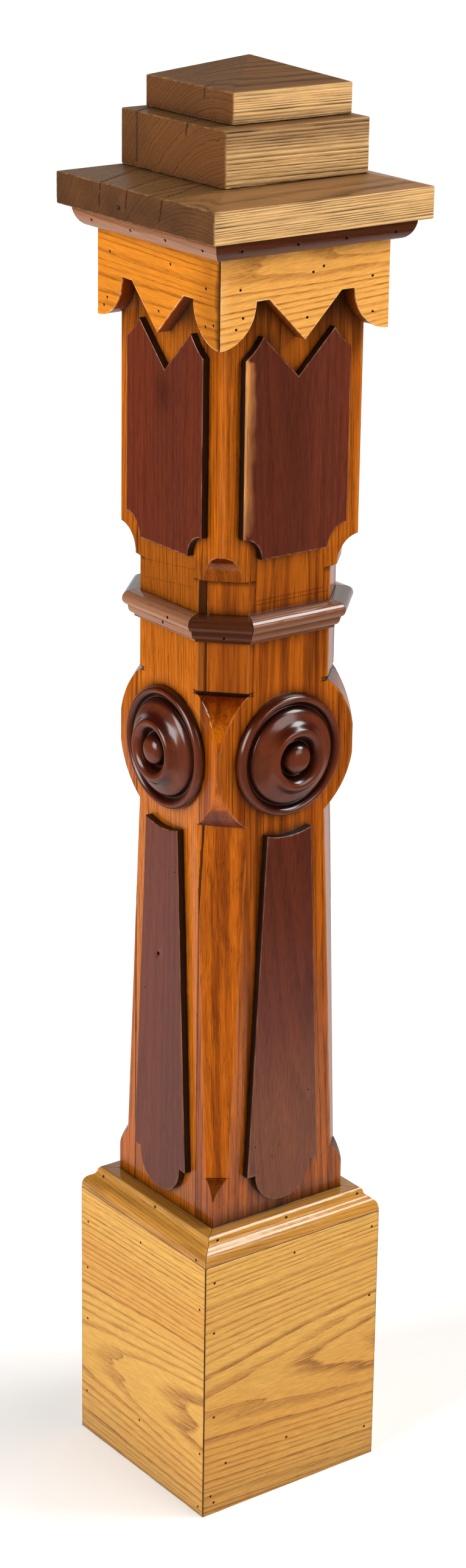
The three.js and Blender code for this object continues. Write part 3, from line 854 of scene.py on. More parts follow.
def on_all_sides(front, left):
    """Nails of the four sides. The hidden sides have those of the side opposite, seen in a mirror."""
    right, back = ([(-x, z) for x, z in nails] for nails in (left, front))
    return {"front": front, "right": right, "back": back, "left": left}


def add_dirt_and_shade(marks, amount):
    """Adds dirt and painted shade to the marks of a shape: each point keeps the larger amount."""
    marks["dirt_and_shade"] = np.maximum(marks["dirt_and_shade"], amount)


def base_outline(out):
    """A rectangle whose ends follow the mitres."""
    corners = np.array([[-1, 0], [1, 0], [1, base_height], [-1, base_height]])
    return filled_in(corners * (half + out - MITRE_TRIM, 1), like=corners * (half, 1))


base_nails = on_all_sides(FRONT_BASE_NAILS, LEFT_BASE_NAILS)
base_hearts = {"front": (-half + 48, 118.0), "left": (-half + 62, 92.0), "right": (-half + 80, 180.0),
               "back": (-half + 55, 60.0)}
for i, side in enumerate(SIDES):
    shape, marks, _ = planted(base_outline, GAP, base_out, 0.55, base_nails[side], seed=20 + i, chips=0.35)
    z = shape[0][:, 2]
    # Painted shade: darker towards the floor, over a slight darkening of the whole board.
    add_dirt_and_shade(marks, 0.22 * np.clip(1 - z / 55, 0, 1) + 0.08)
    by_mitre = np.abs(shape[0][:, 0]) > half + base_out - MITRE_TRIM - SEAM_LINE
    add_dirt_and_shade(marks, 0.75 * by_mitre)
    marks["wear"] = marks["wear"] * ~by_mitre
    build(f"base_board_{side}", shape, [base_board_ash], grain=0, heart=base_hearts[side],
          lean=(0.045, -0.02), seed=10 + i, turn=90 * i, marks=marks)
print("base boards:", pieces_made["base_board_front"], "triangles each")

# %% [markdown]
# ## Skirt and panels
# The skirt hangs under the cap with a lobe at each end and a tooth in the middle, fretted with a saw. The
# upper panel's top edge follows it at an even distance. The lower panel tapers with the chamfers and ends
# in a tongue.

# %% Skirt boards

NOTCH_FLAT = 13.5
skirt_cut = (skirt_half - NOTCH_FLAT) / 2
notch_z = skirt_low[2] + skirt_cut
SKIRT_EASE = 0.6
FRONT_SKIRT_NAILS = [
    (-69, 1160), (-66, 1136), (-73, 1127), (1.4, 1129), (18, 1171), (7, 1167), (71, 1157), (72, 1126)]
LEFT_SKIRT_NAILS = [
    (70, 1160), (69.5, 1128), (81, 1131), (2, 1129), (-75, 1127.5), (-80, 1120), (19, 1172), (-71, 1168)]


def skirt_outline(out):
    """Tooth, notch and lobe up to where the mitre cuts the lobe off."""
    reach = half + out - MITRE_TRIM
    across = skirt_half - reach
    stop = 180 + math.degrees(math.acos(min(1.0, across / skirt_cut)))
    sweep = arc(skirt_half, notch_z, skirt_cut, 180, 270)
    angle = np.radians(np.linspace(180, stop, len(sweep)))
    lobe = np.column_stack([skirt_half + skirt_cut * np.cos(angle), notch_z + skirt_cut * np.sin(angle)])
    flat = np.array([[0, skirt_low[2]], [skirt_cut, notch_z]])
    flat = np.vstack([flat[0] + (flat[1] - flat[0]) * t for t in np.linspace(0, 1, 18)[:-1]] + [flat[1]])
    level = np.linspace([skirt_cut, notch_z], [skirt_half - skirt_cut, notch_z], 5)[1:-1]
    end = np.linspace([reach, lobe[-1, 1]], [reach, skirt_high[2]], 26)[1:]
    top = np.linspace([reach, skirt_high[2]], [0, skirt_high[2]], 30)[1:]
    return mirrored(np.vstack([flat, level, lobe, end, top[:-1]]))


skirt_nails = on_all_sides(FRONT_SKIRT_NAILS, LEFT_SKIRT_NAILS)
skirt_hearts = {"front": (-half + 26, 1186.0), "left": (-half + 70, 1090.0), "right": (-half + 60, 1190.0),
                "back": (-half + 40, 1120.0)}
SKIRT_LEAN = {"front": -0.1, "left": 0.06}  # how the grain dips into the board, so that the rings open out
for i, side in enumerate(SIDES):
    out = skirt_half - half
    shape, marks, _ = planted(skirt_outline, GAP, out, SKIRT_EASE, skirt_nails[side], seed=40 + i)
    marks["tone"] = np.full(len(shape[0]), 1.0 if side == "left" else 0.3 * (side != "front"))
    x, y, z = shape[0].T
    # The sawn walls face down: they are darkened with dirt and with painted shade.
    sawn = (y > 1.0 - skirt_half + SKIRT_EASE) & (z < skirt_high[2] - 2) & (np.abs(x) < skirt_half - 4)
    add_dirt_and_shade(marks, 0.95 * sawn)
    if side == "left":
        # Painted shade on the left skirt, deepening towards the near corner.
        add_dirt_and_shade(marks, 0.32 * np.clip((x - 45) / 28, 0, 1))
        by_seam = x > skirt_half - 2.2
        add_dirt_and_shade(marks, 0.9 * by_seam)
        marks["wear"] = marks["wear"] * ~by_seam
    if side == "front":
        marks["wear"] = np.maximum(marks["wear"], 0.6 * (x < 3 - skirt_half))
    build(f"skirt_board_{side}", shape, [skirt_ash], grain=0, heart=skirt_hearts[side],
          lean=(0.035, SKIRT_LEAN.get(side, 0.03)), seed=30 + i, turn=90 * i, marks=marks)
print("skirt boards:", pieces_made["skirt_board_front"], "triangles each")

# %% Upper panels

UPPER_PANEL_LIFT = 20.0
UPPER_PANEL_NOTCH = 20.5
PANEL_REVEAL = 23.2
PANEL_EASE = 0.7
PANEL_RIMS = (0.8, 1.8)
SAPWOOD = 3.1  # pale strip at the front panel's left edge, mm


def upper_panel_outline(_):
    """Foot between two scooped corners, straight sides, a concave shoulder and half of the V at the top."""
    side, foot = half - MARGIN, ledge_z + UPPER_PANEL_LIFT
    reach = skirt_cut + PANEL_REVEAL
    valley = skirt_low[2] - PANEL_REVEAL * math.sqrt(2)
    middle = (skirt_half + notch_z - valley) / 2
    peak = middle - math.sqrt(reach**2 / 2 - (skirt_half - middle) ** 2)
    shoulder = notch_z - math.sqrt(reach**2 - (skirt_half - side) ** 2)

    def to_angle(x, z):
        return math.degrees(math.atan2(notch_z - z, skirt_half - x)) + 180

    scoop = arc(side, foot, UPPER_PANEL_NOTCH, 180, 90)
    curve = arc(skirt_half, notch_z, reach, to_angle(side, shoulder), to_angle(peak, valley + peak))
    right = np.vstack([[[0, foot]], scoop, curve, [[0, valley]]])
    left = right[1:-1][::-1] * (-1, 1)
    return filled_in(np.vstack([right, left]))


for i, side in enumerate(SIDES):
    shape, marks, walls = planted(upper_panel_outline, GAP, panel_out, PANEL_EASE, seed=60 + i, chips=0.3,
                                  rims=PANEL_RIMS)
    x, _, z = shape[0].T
    if side == "front":
        strip = np.clip((-half + MARGIN + SAPWOOD - x + 0.3 * smooth_noise(shape[0], 60, 3)) / 0.8, 0, 1)
        marks["tone"] = strip * np.clip((z - ledge_z - 20) / 60, 0.15, 1)
        marks["dirt_and_shade"] += 0.24 * np.clip((14 - x) / 16, 0, 1) * (1 - strip)
    if side == "left":
        marks["dirt_and_shade"] += 0.45 * np.exp(-(((x + 2.5) / 8) ** 2) - ((z - 1057) / 14) ** 2)
    build(f"upper_panel_{side}", shape, [panel_walnut, ebonised_edge],
          heart=(20.0 - 50 * i, 10.0), lean=(0.02, 0.05), seed=50 + i, turn=90 * i, marks=marks,
          face_material=walls)
print("upper panels:", pieces_made["upper_panel_front"], "triangles each")

# %% Lower panels

LOWER_PANEL_MARGIN = 20.6
SHOULDER = 9.1
TONGUE_LIFT = 12.0


def lower_panel_outline(_):
    """Round tongue, square shoulder, side that keeps its distance from the chamfer, and a concave top."""
    widest = half - FOOT_CHAMFER - LOWER_PANEL_MARGIN
    slope = (widest - (half - SHAFT_CHAMFER - MARGIN)) / TAPER_LENGTH
    tongue = widest - SHOULDER
    shoulder_z = moulding_top + TONGUE_LIFT + tongue
    at_shoulder = widest - slope * (shoulder_z - foot_stop_top)
    top_half = widest - slope * TAPER_LENGTH
    sweep = math.degrees(math.asin(top_half / half))
    right = np.vstack([arc(0, shoulder_z, tongue, -90, 0), [[at_shoulder, shoulder_z]],
                       arc(0, rosette_z, half, 270 + sweep, 270)])
    left = right[1:-1][::-1] * (-1, 1)
    return filled_in(np.vstack([right, left]))


# Pits in the lower panels: x, z and radius
LOWER_LEFT_PITS = [(-3.7, 534.4, 1.6), (21, 621.9, 0.5), (-24.7, 493.5, 0.6), (5.8, 361.9, 0.5)]
LOWER_FRONT_PITS = [(28.1, 401, 0.6), (-12.9, 344, 0.5), (-4, 353.9, 0.4), (-32.1, 358.8, 0.5)]
lower_pits = {"left": LOWER_LEFT_PITS, "front": LOWER_FRONT_PITS}
for i, side in enumerate(SIDES):
    shape, marks, walls = planted(lower_panel_outline, GAP, panel_out, PANEL_EASE, lower_pits.get(side, ()),
                                  seed=80 + i, chips=0.3)
    if side == "front":
        z = shape[0][:, 2]
        add_dirt_and_shade(marks, 0.22 * np.clip((z - 480) / 120, 0, 1))
        marks["tone"] = 0.1 * np.clip((480 - z) / 100, 0, 1)
    build(f"lower_panel_{side}", shape, [panel_walnut, ebonised_edge],
          heart=(30.0 - 25 * i, 0.0), lean=(0.015, 0.04), seed=70 + i, turn=90 * i, marks=marks,
          face_material=walls)
print("lower panels:", pieces_made["lower_panel_front"], "triangles each")

# %% [markdown]
# ## Mouldings
# A moulding is one profile run along the side and mitred at both ends. A curve with a bevel object would
# round the mitres, so the profile is carried along as rows of points, and each row's reach grows with the
# distance out.

# %% Profile along a mitred run


def flowing(points, steps=6):
    """A smooth line through the points: cubic pieces whose slope at a point follows its two neighbours."""
    p = np.asarray(points, float)
    before = np.vstack([2 * p[:1] - p[1:2], p[:-1]])[:-1]
    after = np.vstack([p[2:], 2 * p[-1:] - p[-2:-1]])
    a, b = p[:-1], p[1:]
    t = np.linspace(0, 1, steps, endpoint=False)[:, None, None]
    curve = 0.5 * (2 * a + (b - before) * t + (2 * before - 5 * a + 4 * b - after) * t**2
                   + (3 * a - before - 3 * b + after) * t**3)
    return np.vstack([curve.transpose(1, 0, 2).reshape(-1, 2), p[-1:]])


def run(profile, back_points, face, half_length, tangent, nails=(), seed=0, wobble=0.12, step_mm=2.5):
    """Rows of the profile, [out, z], from one mitre to the other. The mitre's tangent says how much further
    a row reaches for each millimetre out. Nails are (x, z) places that are pushed in, and wobble is how
    uneven the face is. Returns the points and the dirt in the nail holes."""
    line = np.vstack([profile, back_points])
    reach = half_length + line[:, 0] * tangent - MITRE_TRIM
    along = np.linspace(-1, 1, int(2 * half_length / step_mm))
    for nail_x, nail_z in nails:
        there = reach[: len(profile)][np.argmin(np.abs(profile[:, 1] - nail_z))]
        along = along[np.abs(along * there - nail_x) > 1.9]
        close = np.array([-1.6, -1.0, -0.7, -0.35, 0, 0.35, 0.7, 1.0, 1.6])
        along = np.concatenate([along, (nail_x + close) / there])
    along = np.sort(along)
    x = along[:, None] * reach[None, :]
    y, z = -(face + line[:, 0]), line[:, 1]
    points = np.stack([x, np.broadcast_to(y, x.shape), np.broadcast_to(z, x.shape)], axis=-1)
    front = np.arange(len(line)) < len(profile)
    worn = wobble * (smooth_noise(points, 16.0, seed) + 0.6 * smooth_noise(points, 5.0, seed + 1))
    points[..., 1] += worn * front
    dirt_and_shade = np.zeros(x.shape)
    for nail_x, nail_z in nails:
        near = np.hypot(points[..., 0] - nail_x, points[..., 2] - nail_z)
        sunk = np.interp(near, [0, 0.75 * HOLE, 1.1 * HOLE, 1.5 * HOLE], [1.8, 1.5, 0.3, 0]) * front
        points[..., 1] += sunk
        dirt_and_shade = np.maximum(dirt_and_shade, np.clip(sunk / 0.3, 0, 1))
    return points, dirt_and_shade


# %% Moulding on the box at the foot

FRONT_FOOT_NAILS = [(83, 281), (-1, 281), (-80, 281)]
LEFT_FOOT_NAILS = [(86, 265), (5, 282), (-79, 279)]
base_profile = np.vstack([
    [[base_out - 0.6, base_height + GAP]],
    flowing([
        [base_out - 0.2, 262.8], [26.0, 264.6], [25.4, 268.0], [24.4, 271.0], [22.2, 273.8], [19.8, 275.4],
        [17.6, 276.8], [16.4, 278.2], [15.4, 280.0], [14.9, 281.8], [14.6, 283.2]], 4),
    [[14.2, 283.7], [13.6, 284.2], [12.9, 285.1], [12.2, 285.45], [11.4, moulding_top]],
])
foot_nails = on_all_sides(FRONT_FOOT_NAILS, LEFT_FOOT_NAILS)
back = [[GAP, moulding_top], [GAP, base_height + GAP]]
for i, side in enumerate(SIDES):
    points, dirt_and_shade = run(base_profile, back, half, half, 1.0, foot_nails[side], seed=90 + i)
    arris = np.abs(points[..., 2] - 283.9) < 0.6
    smoky = np.clip(smooth_noise(points * (0.15, 1, 1), 6.0, i) + 0.15, 0, 1)
    smoky = (0.2 if side == "front" else 0.4) * smoky
    seam = 0.55 * np.clip((base_height + 2.2 - points[..., 2]) / 1.5, 0, 1)
    quirk = 0.4 * (np.abs(points[..., 2] - 285.2) < 0.4) * (points[..., 1] > -(half + 13.2))
    dirt_and_shade = np.max([dirt_and_shade, smoky, seam, quirk], axis=0)
    build(f"base_moulding_{side}", tube(points), [base_moulding_ash], grain=0,
          heart=(-half - 60, 245.0), lean=(0.03, 0.02), seed=90 + i, turn=90 * i,
          marks={"dirt_and_shade": dirt_and_shade, "wear": arris})
print("base mouldings:", pieces_made["base_moulding_front"], "triangles each")

# %% Collar round the neck

LEFT_COLLAR_NAILS = [(19, 862), (5, 853)]
NEAR_COLLAR_NAILS = [(2, 851)]
collar_top = collar_high[2]
bead = 6.6
bead_z = collar_top - 1.0 - bead
bead_out = -collar_low[1] - half - bead
lip_z = bead_z - 7.4
collar_profile = np.vstack([
    arc(3.9, lip_z - 1.0, 6.4, -80, -2, 0.9),
    [[10.6, lip_z + 0.2], [10.5, lip_z + 1.2]],
    arc(bead_out, bead_z, bead, -72, 88, 0.9),
    [[bead_out - 2.2, collar_top - 0.4], [bead_out - 4.5, collar_top]],
])
collar_foot = collar_low[2]
collar_back = [[GAP, collar_top], [GAP, collar_foot]]
collar_profile = np.vstack([[[3.9, collar_foot], [5.0, collar_foot]], collar_profile])
tangent = math.tan(math.pi / 8)
facet_half = NECK_CHAMFER * math.sqrt(2) / 2
facet_face = (2 * half - NECK_CHAMFER) / math.sqrt(2)
CORNERS = ["front_right", "back_right", "back_left", "front_left"]
COLLAR_TONE = {"left": 1.0, "front": 0.45}
for i, (side, corner) in enumerate(zip(SIDES, CORNERS)):
    nails = LEFT_COLLAR_NAILS if side == "left" else []
    points, dirt_and_shade = run(collar_profile, collar_back, half, half - NECK_CHAMFER, tangent, nails, seed=110 + i)
    tone = np.full(dirt_and_shade.shape, COLLAR_TONE.get(side, 0.6))
    build(f"collar_{side}", tube(points), [moulding_walnut], grain=0,
          heart=(-half - 40, 830.0), seed=110 + i, turn=90 * i, marks={"dirt_and_shade": dirt_and_shade, "tone": tone})
    nails = NEAR_COLLAR_NAILS if corner == "front_left" else []
    points, dirt_and_shade = run(collar_profile, collar_back, facet_face, facet_half, tangent, nails, seed=120 + i)
    dirt_and_shade = np.maximum(dirt_and_shade, 0.35)
    build(f"collar_{corner}", tube(points), [moulding_walnut], grain=0,
          heart=(-half - 30, 900.0), seed=120 + i, turn=90 * i + 45, marks={"dirt_and_shade": dirt_and_shade})
print("collar pieces:", sum(name.startswith("collar") for name in pieces_made))

# %% Bed moulding under the cap

skirt_out = skirt_half - half
bed_out = -bed_low[1] - half
bed_profile = flowing([
    [skirt_out + 0.3, bed_low[2]], [skirt_out + 6.3, bed_low[2] + 0.8], [skirt_out + 10.0, bed_low[2] + 2.9],
    [skirt_out + 12.8, bed_low[2] + 6.4], [skirt_out + 14.6, bed_low[2] + 10.2],
    [bed_out - 0.2, bed_low[2] + 14.2], [bed_out, bed_high[2] - 1.2], [bed_out - 0.5, bed_high[2]]], 6)
BED_TONE = {"left": 0.8, "front": 0.0}
back = [[GAP, bed_high[2]], [GAP, bed_low[2]]]
nails = [(x, bed_low[2] + 9) for x in (-78, -20, 31, 84)]
for i, side in enumerate(SIDES):
    points, dirt_and_shade = run(bed_profile, back, half, half, 1.0, nails, seed=130 + i)
    tone = np.full(dirt_and_shade.shape, BED_TONE.get(side, 0.4))
    # Painted shadow of the slab on the front bed moulding.
    dirt_and_shade = np.maximum(dirt_and_shade, 0.2 * (side == "front"))
    build(f"bed_moulding_{side}", tube(points), [moulding_walnut], grain=0,
          heart=(-half - 70, 1160.0), seed=130 + i, turn=90 * i, marks={"dirt_and_shade": dirt_and_shade, "tone": tone})
print("bed mouldings:", pieces_made["bed_moulding_front"], "triangles each")

# %% [markdown]
# ## Rosettes
# A rosette is turned on a lathe: a bead at the rim, a deep groove, an ogee up to a ring, and a button sunk
# in the middle. The Screw modifier could spin the profile. Here the profile is carried around the axis as
# an array, and the spindle's axis is level, because the rosette is glued flat to the face.

# %% Turned rosettes

ROSETTE_STEPS = 144
turning = flowing([
    [56.1, 0.3], [56.4, 1.8], [56.3, 4.2], [55.2, 6.9], [53.2, 8.4], [51.0, 8.2], [49.0, 6.6], [47.6, 4.4],
    [46.5, 3.4], [45.4, 3.8], [44.5, 5.6], [43.3, 7.9], [41.0, 9.9], [37.8, 11.4], [34.4, 13.2], [31.6, 15.7],
    [29.5, 18.4], [27.7, 20.4], [25.6, 21.1], [23.2, 20.6], [20.9, 18.9], [19.3, 16.4], [18.1, 13.4],
    [17.1, 11.7], [15.9, 11.3], [14.8, 12.1], [14.1, 14.0], [13.4, 16.6], [11.9, 18.9], [9.3, 20.9],
    [6.0, 22.1], [3.0, 22.5], [0.5, 22.6]], 4)
turning[:, 0] *= rosette_radius / turning[:, 0].max()


def rosette(seed):
    """Rows are circles about the level axis: each profile point goes round at its own radius."""
    angle = np.linspace(0, 2 * np.pi, ROSETTE_STEPS, endpoint=False)
    radius, height = turning[:, 0][:, None], turning[:, 1][:, None]
    x = radius * np.cos(angle)
    z = radius * np.sin(angle)
    y = np.broadcast_to(-(half + height), x.shape)
    points = np.stack([x, y, z + rosette_z], axis=-1)
    points[..., 1] += 0.08 * smooth_noise(points, 22.0, seed) * (height > 1)
    return points


for i, side in enumerate(SIDES):
    build(f"rosette_{side}", tube(rosette(seed=140 + i)), [rosette_walnut],
          heart=(30.0 - 20 * i, 0.0), lean=(0.02, 0.03), seed=140 + i, turn=90 * i)
print("rosettes:", pieces_made["rosette_front"], "triangles each")

# %% [markdown]
# ## Cap
# Three blocks are stacked: a slab, a middle block and a low pyramid. Their ends are sawn across the grain
# and have opened in cracks. The long sides have weathered, so the soft part of each ring has sunk and left
# level ridges. A bump in the shader would be lighter, but it leaves the edges smooth. So the ridges move
# the surface itself, with a spacing of their own, and the dirt marked in them makes their dark lines.

# %% Rings around a block

CORNER_ROUND = 1.6
CAP_ARRIS = 1.1  # radius of the rubbed upper and lower arrises
CAP_SWAY = 1.2  # the rings of the cap run nearly level


def square_ring(reach, corner, sides):
    """Points once around a square with rounded corners, with its outward directions. sides holds, for each
    of the four sides, places from -1 to 1 along it."""
    points, normals = [], []
    straight = reach - corner
    for i, places in enumerate(sides):
        run_x = np.column_stack([places * straight, np.full(len(places), -reach)])
        angle = np.radians(np.linspace(-90, 0, 6))[1:-1]
        bend = np.column_stack([straight + corner * np.cos(angle), -straight + corner * np.sin(angle)])
        side = np.vstack([run_x, bend])
        round_out = np.column_stack([np.cos(angle), np.sin(angle)])
        out = np.vstack([np.tile([0.0, -1.0], (len(places), 1)), round_out])
        side3 = turned(np.insert(side, 2, 0, axis=1), 90 * i)
        out3 = turned(np.insert(out, 2, 0, axis=1), 90 * i)
        points.append(side3[:, :2])
        normals.append(out3[:, :2])
    return np.vstack(points), np.vstack(normals)


def ring_line(board, ring_mm, fade):
    """A line that starts each growth ring: 1 at the ring's start, fading over it. A sine makes years wide
    and narrow, and multiples of the golden ratio make their lines strong and weak."""
    phase = np.hypot(board[..., 0], board[..., 1]) / ring_mm
    phase = phase + 0.4 * np.sin(0.9 * phase)
    within = np.mod(phase, 1.0)
    start = np.clip(1 - within / fade, 0, 1)
    strength = 0.55 + 0.45 * np.mod(np.floor(phase) * 0.618034, 1.0)
    return strength * np.maximum(start * start * (3 - 2 * start), np.clip((within - 0.9) / 0.1, 0, 1))


# %% A cap block


def cap_profile(low_z, edge_top, reach, seat, rise):
    """Side of a block as distances in and heights: arris, upright side, arris and slope to the seat."""
    bend = np.linspace(0, np.pi / 2, 5)
    soft = CAP_ARRIS
    profile = [(soft * (1 - math.sin(a)), low_z + soft * (1 - math.cos(a))) for a in bend]
    profile += [(0.0, z) for z in np.arange(low_z + soft + 0.4, edge_top - soft, 0.42)]
    profile += [(soft * (1 - math.cos(a)), edge_top - soft + soft * math.sin(a)) for a in bend]
    slope = np.linspace(0, 1, 34)[1:]
    profile += [(soft + (reach - soft - seat) * t, edge_top + rise * t) for t in slope]
    return profile


def open_cracks(points, cracks, middle_x, end_side, upright):
    """Presses the cracks into the left end and the top, and returns the dirt that has settled in them."""
    dirt_and_shade = np.zeros(points.shape[:2])
    for at, bottom, top, lean, depth in cracks:
        x, y, z = np.moveaxis(points, -1, 0)
        across = np.abs(-y - at - lean * (z - (bottom + top) / 2))
        tall = np.clip((z - bottom) / 2, 0, 1) * np.clip((top - z) / 2 + 1, 0, 1)
        cut = np.clip(1.4 - across / 0.7, 0, 1) * tall * (x < middle_x)
        points[..., 0] += cut * depth * end_side
        points[..., 2] -= cut * depth * 0.4 * (1 - upright)
        dirt_and_shade = np.maximum(dirt_and_shade, cut)
    return dirt_and_shade


def cap_block(low, high, seat, rise, heart, lean, seed, cracks, ridge, ridge_mm, end_dirt, top_tone,
              upper_tone=1.0, slope_dirt=0.0, hole=None, chip=None):
    """Rows are rounded squares: up the sides, round the arris and in over the top, which climbs by rise to
    the seat of the next block. The long sides get ridges, ridge deep and ridge_mm apart. Cracks are narrow
    grooves up the left end and over the top: place, bottom, top, lean and depth. hole is (y, z, radius) on
    that end, and chip is a torn corner: x, y, z, radius and depth. end_dirt and slope_dirt darken the ends
    and the top. top_tone and upper_tone say how bleached the top and the upper part of the long sides
    look."""
    reach = (high[0] - low[0]) / 2
    middle = (high[:2] + low[:2]) / 2
    edge_top = high[2] - rise
    even = np.linspace(-1, 1, 110)
    close = np.array([-1.4, -0.7, -0.35, 0, 0.35, 0.7, 1.4]) / reach
    left = even.copy()
    for at, *_ in cracks:
        left = left[np.abs(left - at / reach) > 1.8 / reach]
        left = np.concatenate([left, at / reach + close])
    sides = [even, even, even, np.sort(left)]
    profile = cap_profile(low[2], edge_top, reach, seat, rise)
    rings, outs = [], []
    for back, z in profile:
        ring, out = square_ring(reach - back, CORNER_ROUND * max(reach - back, 1) / reach, sides)
        rings.append(np.column_stack([ring + middle, np.full(len(ring), z)]))
        outs.append(out)
    points, outward = np.stack(rings), np.stack(outs)
    upright = np.array([1.0 if z < edge_top - 0.2 else 0.0 for _, z in profile])[:, None]
    long_side = np.abs(outward[..., 1]) ** 4 * upright
    end_side = np.abs(outward[..., 0]) ** 4 * upright
    board = in_plank(points, 0, heart, lean, seed, CAP_SWAY)
    groove = ring_line(board, ridge_mm, 0.6)
    rough = smooth_noise(points * (0.05, 1, 1), 0.9, seed) + smooth_noise(points * (0.1, 1, 1), 2.6, seed + 1)
    relief = -ridge * groove * long_side + 0.07 * rough * (0.35 + long_side)
    relief = relief + 0.05 * smooth_noise(points, 14.0, seed)
    top_relief = -0.06 * groove * (1 - upright)
    nick = np.maximum(smooth_noise(points, 7.0, seed + 3) - 0.25, 0) * 1.1
    arris = np.array([1.0 if 0 < back < CAP_ARRIS or z == low[2] else 0.0 for back, z in profile])[:, None]
    corner = np.clip(1 - np.abs(np.abs(outward[..., 0]) - np.abs(outward[..., 1])), 0, 1)
    relief = relief - nick * np.maximum(arris, corner) * 0.7
    if chip:
        near = np.linalg.norm((points - chip[:3]) * (1, 1, 0.7), axis=-1)
        torn = np.clip(1.2 - near / chip[3], 0, 1) * (0.6 + 0.4 * smooth_noise(points, 1.8, seed))
        relief = relief - chip[4] * torn
    points[..., :2] += relief[..., None] * outward
    points[..., 2] += top_relief
    dirt_and_shade = 0.8 * np.clip(torn, 0, 1) if chip else np.zeros(points.shape[:2])
    dirt_and_shade = np.maximum(dirt_and_shade, open_cracks(points, cracks, middle[0], end_side, upright))
    if hole:
        y, z, radius = hole
        near = np.hypot(-points[..., 1] - y, points[..., 2] - z)
        sunk = np.clip(1.25 - near / radius, 0, 1) * (points[..., 0] < middle[0]) * end_side
        points[..., 0] += sunk * 4.0
        dirt_and_shade = np.maximum(dirt_and_shade, np.clip(sunk * 2, 0, 1))
    wear = np.maximum(arris, corner * upright) * np.ones(points.shape[:2])
    patchy = 0.55 + 0.45 * smooth_noise(points * (0.3, 1, 1), 9.0, seed + 7)
    dirt_and_shade = np.maximum(dirt_and_shade, np.clip(1.5 * groove * long_side * patchy, 0, 0.95))
    dirt_and_shade = np.maximum(dirt_and_shade, slope_dirt * (1 - upright))
    cloudy = 0.8 + 0.4 * smooth_noise(points, 18.0, seed + 9)
    dirt_and_shade = np.maximum(dirt_and_shade, end_dirt * cloudy * end_side)
    fading = np.interp(points[..., 2], [edge_top - 26, edge_top - 8], [1.0, upper_tone])
    tone = np.clip(long_side * 1.2, 0, 1) * fading + top_tone * (1 - upright)
    return tube(points), {"wear": wear, "dirt_and_shade": dirt_and_shade, "tone": tone}


slab_low, slab_high = box_mm("cap_slab")
block_low, block_high = box_mm("cap_middle_block")
top_low, top_high = box_mm("cap_top_block")
SLAB_CRACKS = [(-49, 1208, 1243, 0.09, 1.6), (-9.3, 1212, 1243, 0.12, 1.8), (41, 1210, 1243, 0.17, 1.6)]
BLOCK_CRACKS = [(-51.7, 1244, 1293, 0.0, 1.4), (20.2, 1276, 1293, 0.18, 1.4)]
TOP_CRACKS = [(24, 1307, 1320, 0.0, 1.0)]
cap_parts = {
    "cap_slab": dict(
        low=slab_low, high=slab_high, seat=block_high[0], rise=8.3, heart=(-95.0, 1120.0), lean=(0.01, -0.01),
        cracks=SLAB_CRACKS, ridge=0.3, ridge_mm=2.3, end_dirt=0.5, top_tone=0.08, hole=(-22, 1216, 2.2),
        chip=(slab_low[0], slab_low[1], 1236.0, 8.0, 3.0)),
    "cap_middle_block": dict(
        low=block_low, high=block_high, seat=(top_high[0] - top_low[0]) / 2, rise=1.6, heart=(-100.0, 1150.0),
        lean=(0.01, 0.012), cracks=BLOCK_CRACKS, ridge=0.5, ridge_mm=3.1, end_dirt=0.04, top_tone=0.05,
        upper_tone=0.35),
    "cap_top_block": dict(
        low=top_low, high=top_high, seat=0.5, rise=19.5, heart=(-48.0, 1225.0), lean=(0.02, 0.01),
        cracks=TOP_CRACKS, ridge=0.3, ridge_mm=2.4, end_dirt=0.2, top_tone=0.0, slope_dirt=0.35),
}
for seed, (name, part) in enumerate(cap_parts.items(), start=150):
    shape, marks = cap_block(seed=seed, **part)
    build(name, shape, [cap_wood], grain=0, heart=part["heart"], lean=part["lean"], seed=seed,
          sway=CAP_SWAY, marks=marks)
print("cap blocks:", [n for name, n in pieces_made.items() if name.startswith("cap")], "triangles")
print("whole post:", len(pieces_made), "pieces,", sum(pieces_made.values()), "triangles")

# %% [markdown]
# ## Studio
# The post stands on a sheet of white paper in front of a white backdrop, so the picture's ground is white
# and only faces that turn away from the viewer mirror the backdrop. The room on the viewer's side is dark.
# The paper is also a painted glow: it emits light itself, weakly by the post and fully far away. What the
# glossy faces mirror of the floor is a narrower glowing sheet, because the real roll of paper ends beside
# the post. Four large soft lamps shine: the key high on the right gives the bright lines on the mouldings,
# one in front and one on the left fill in, and a weak one hangs above. A ready-made picture of a room would
# be quicker, but it would put windows into the varnish.

# %% Floor

VIEW_AZIMUTH = math.radians(-36.6)  # the paper roll runs along the photo's line of sight
away = (-math.sin(VIEW_AZIMUTH), math.cos(VIEW_AZIMUTH), 0.0)
aside = (math.cos(VIEW_AZIMUTH), math.sin(VIEW_AZIMUTH), 0.0)
FLOOR_REACH = 30.0
WHITE = linear("#ffffff")
# Distance along a direction where the mirrored paper has ended, and where it is whole, in metres
PAPER_LEFT, PAPER_RIGHT, PAPER_NEAR = (-2.3, -1.6), (1.45, 0.9), (-0.9, -0.5)
corners = [(-1, -1), (1, -1), (1, 1), (-1, 1)]
floor_mesh = bpy.data.meshes.new("studio_floor")
floor_mesh.from_pydata([(x * FLOOR_REACH, y * FLOOR_REACH, 0) for x, y in corners], [], [(0, 1, 2, 3)])
floor = bpy.data.objects.new("studio_floor", floor_mesh)
bpy.context.scene.collection.objects.link(floor)
paper = bpy.data.materials.new("matt_white_paper")
paper.use_nodes = True
floor_tree = paper.node_tree
floor_tree.nodes.clear()
floor_place = node(floor_tree, "TexCoord").outputs["Object"]
from_post = node(floor_tree, "VectorMath", {0: floor_place}, operation="LENGTH").outputs["Value"]
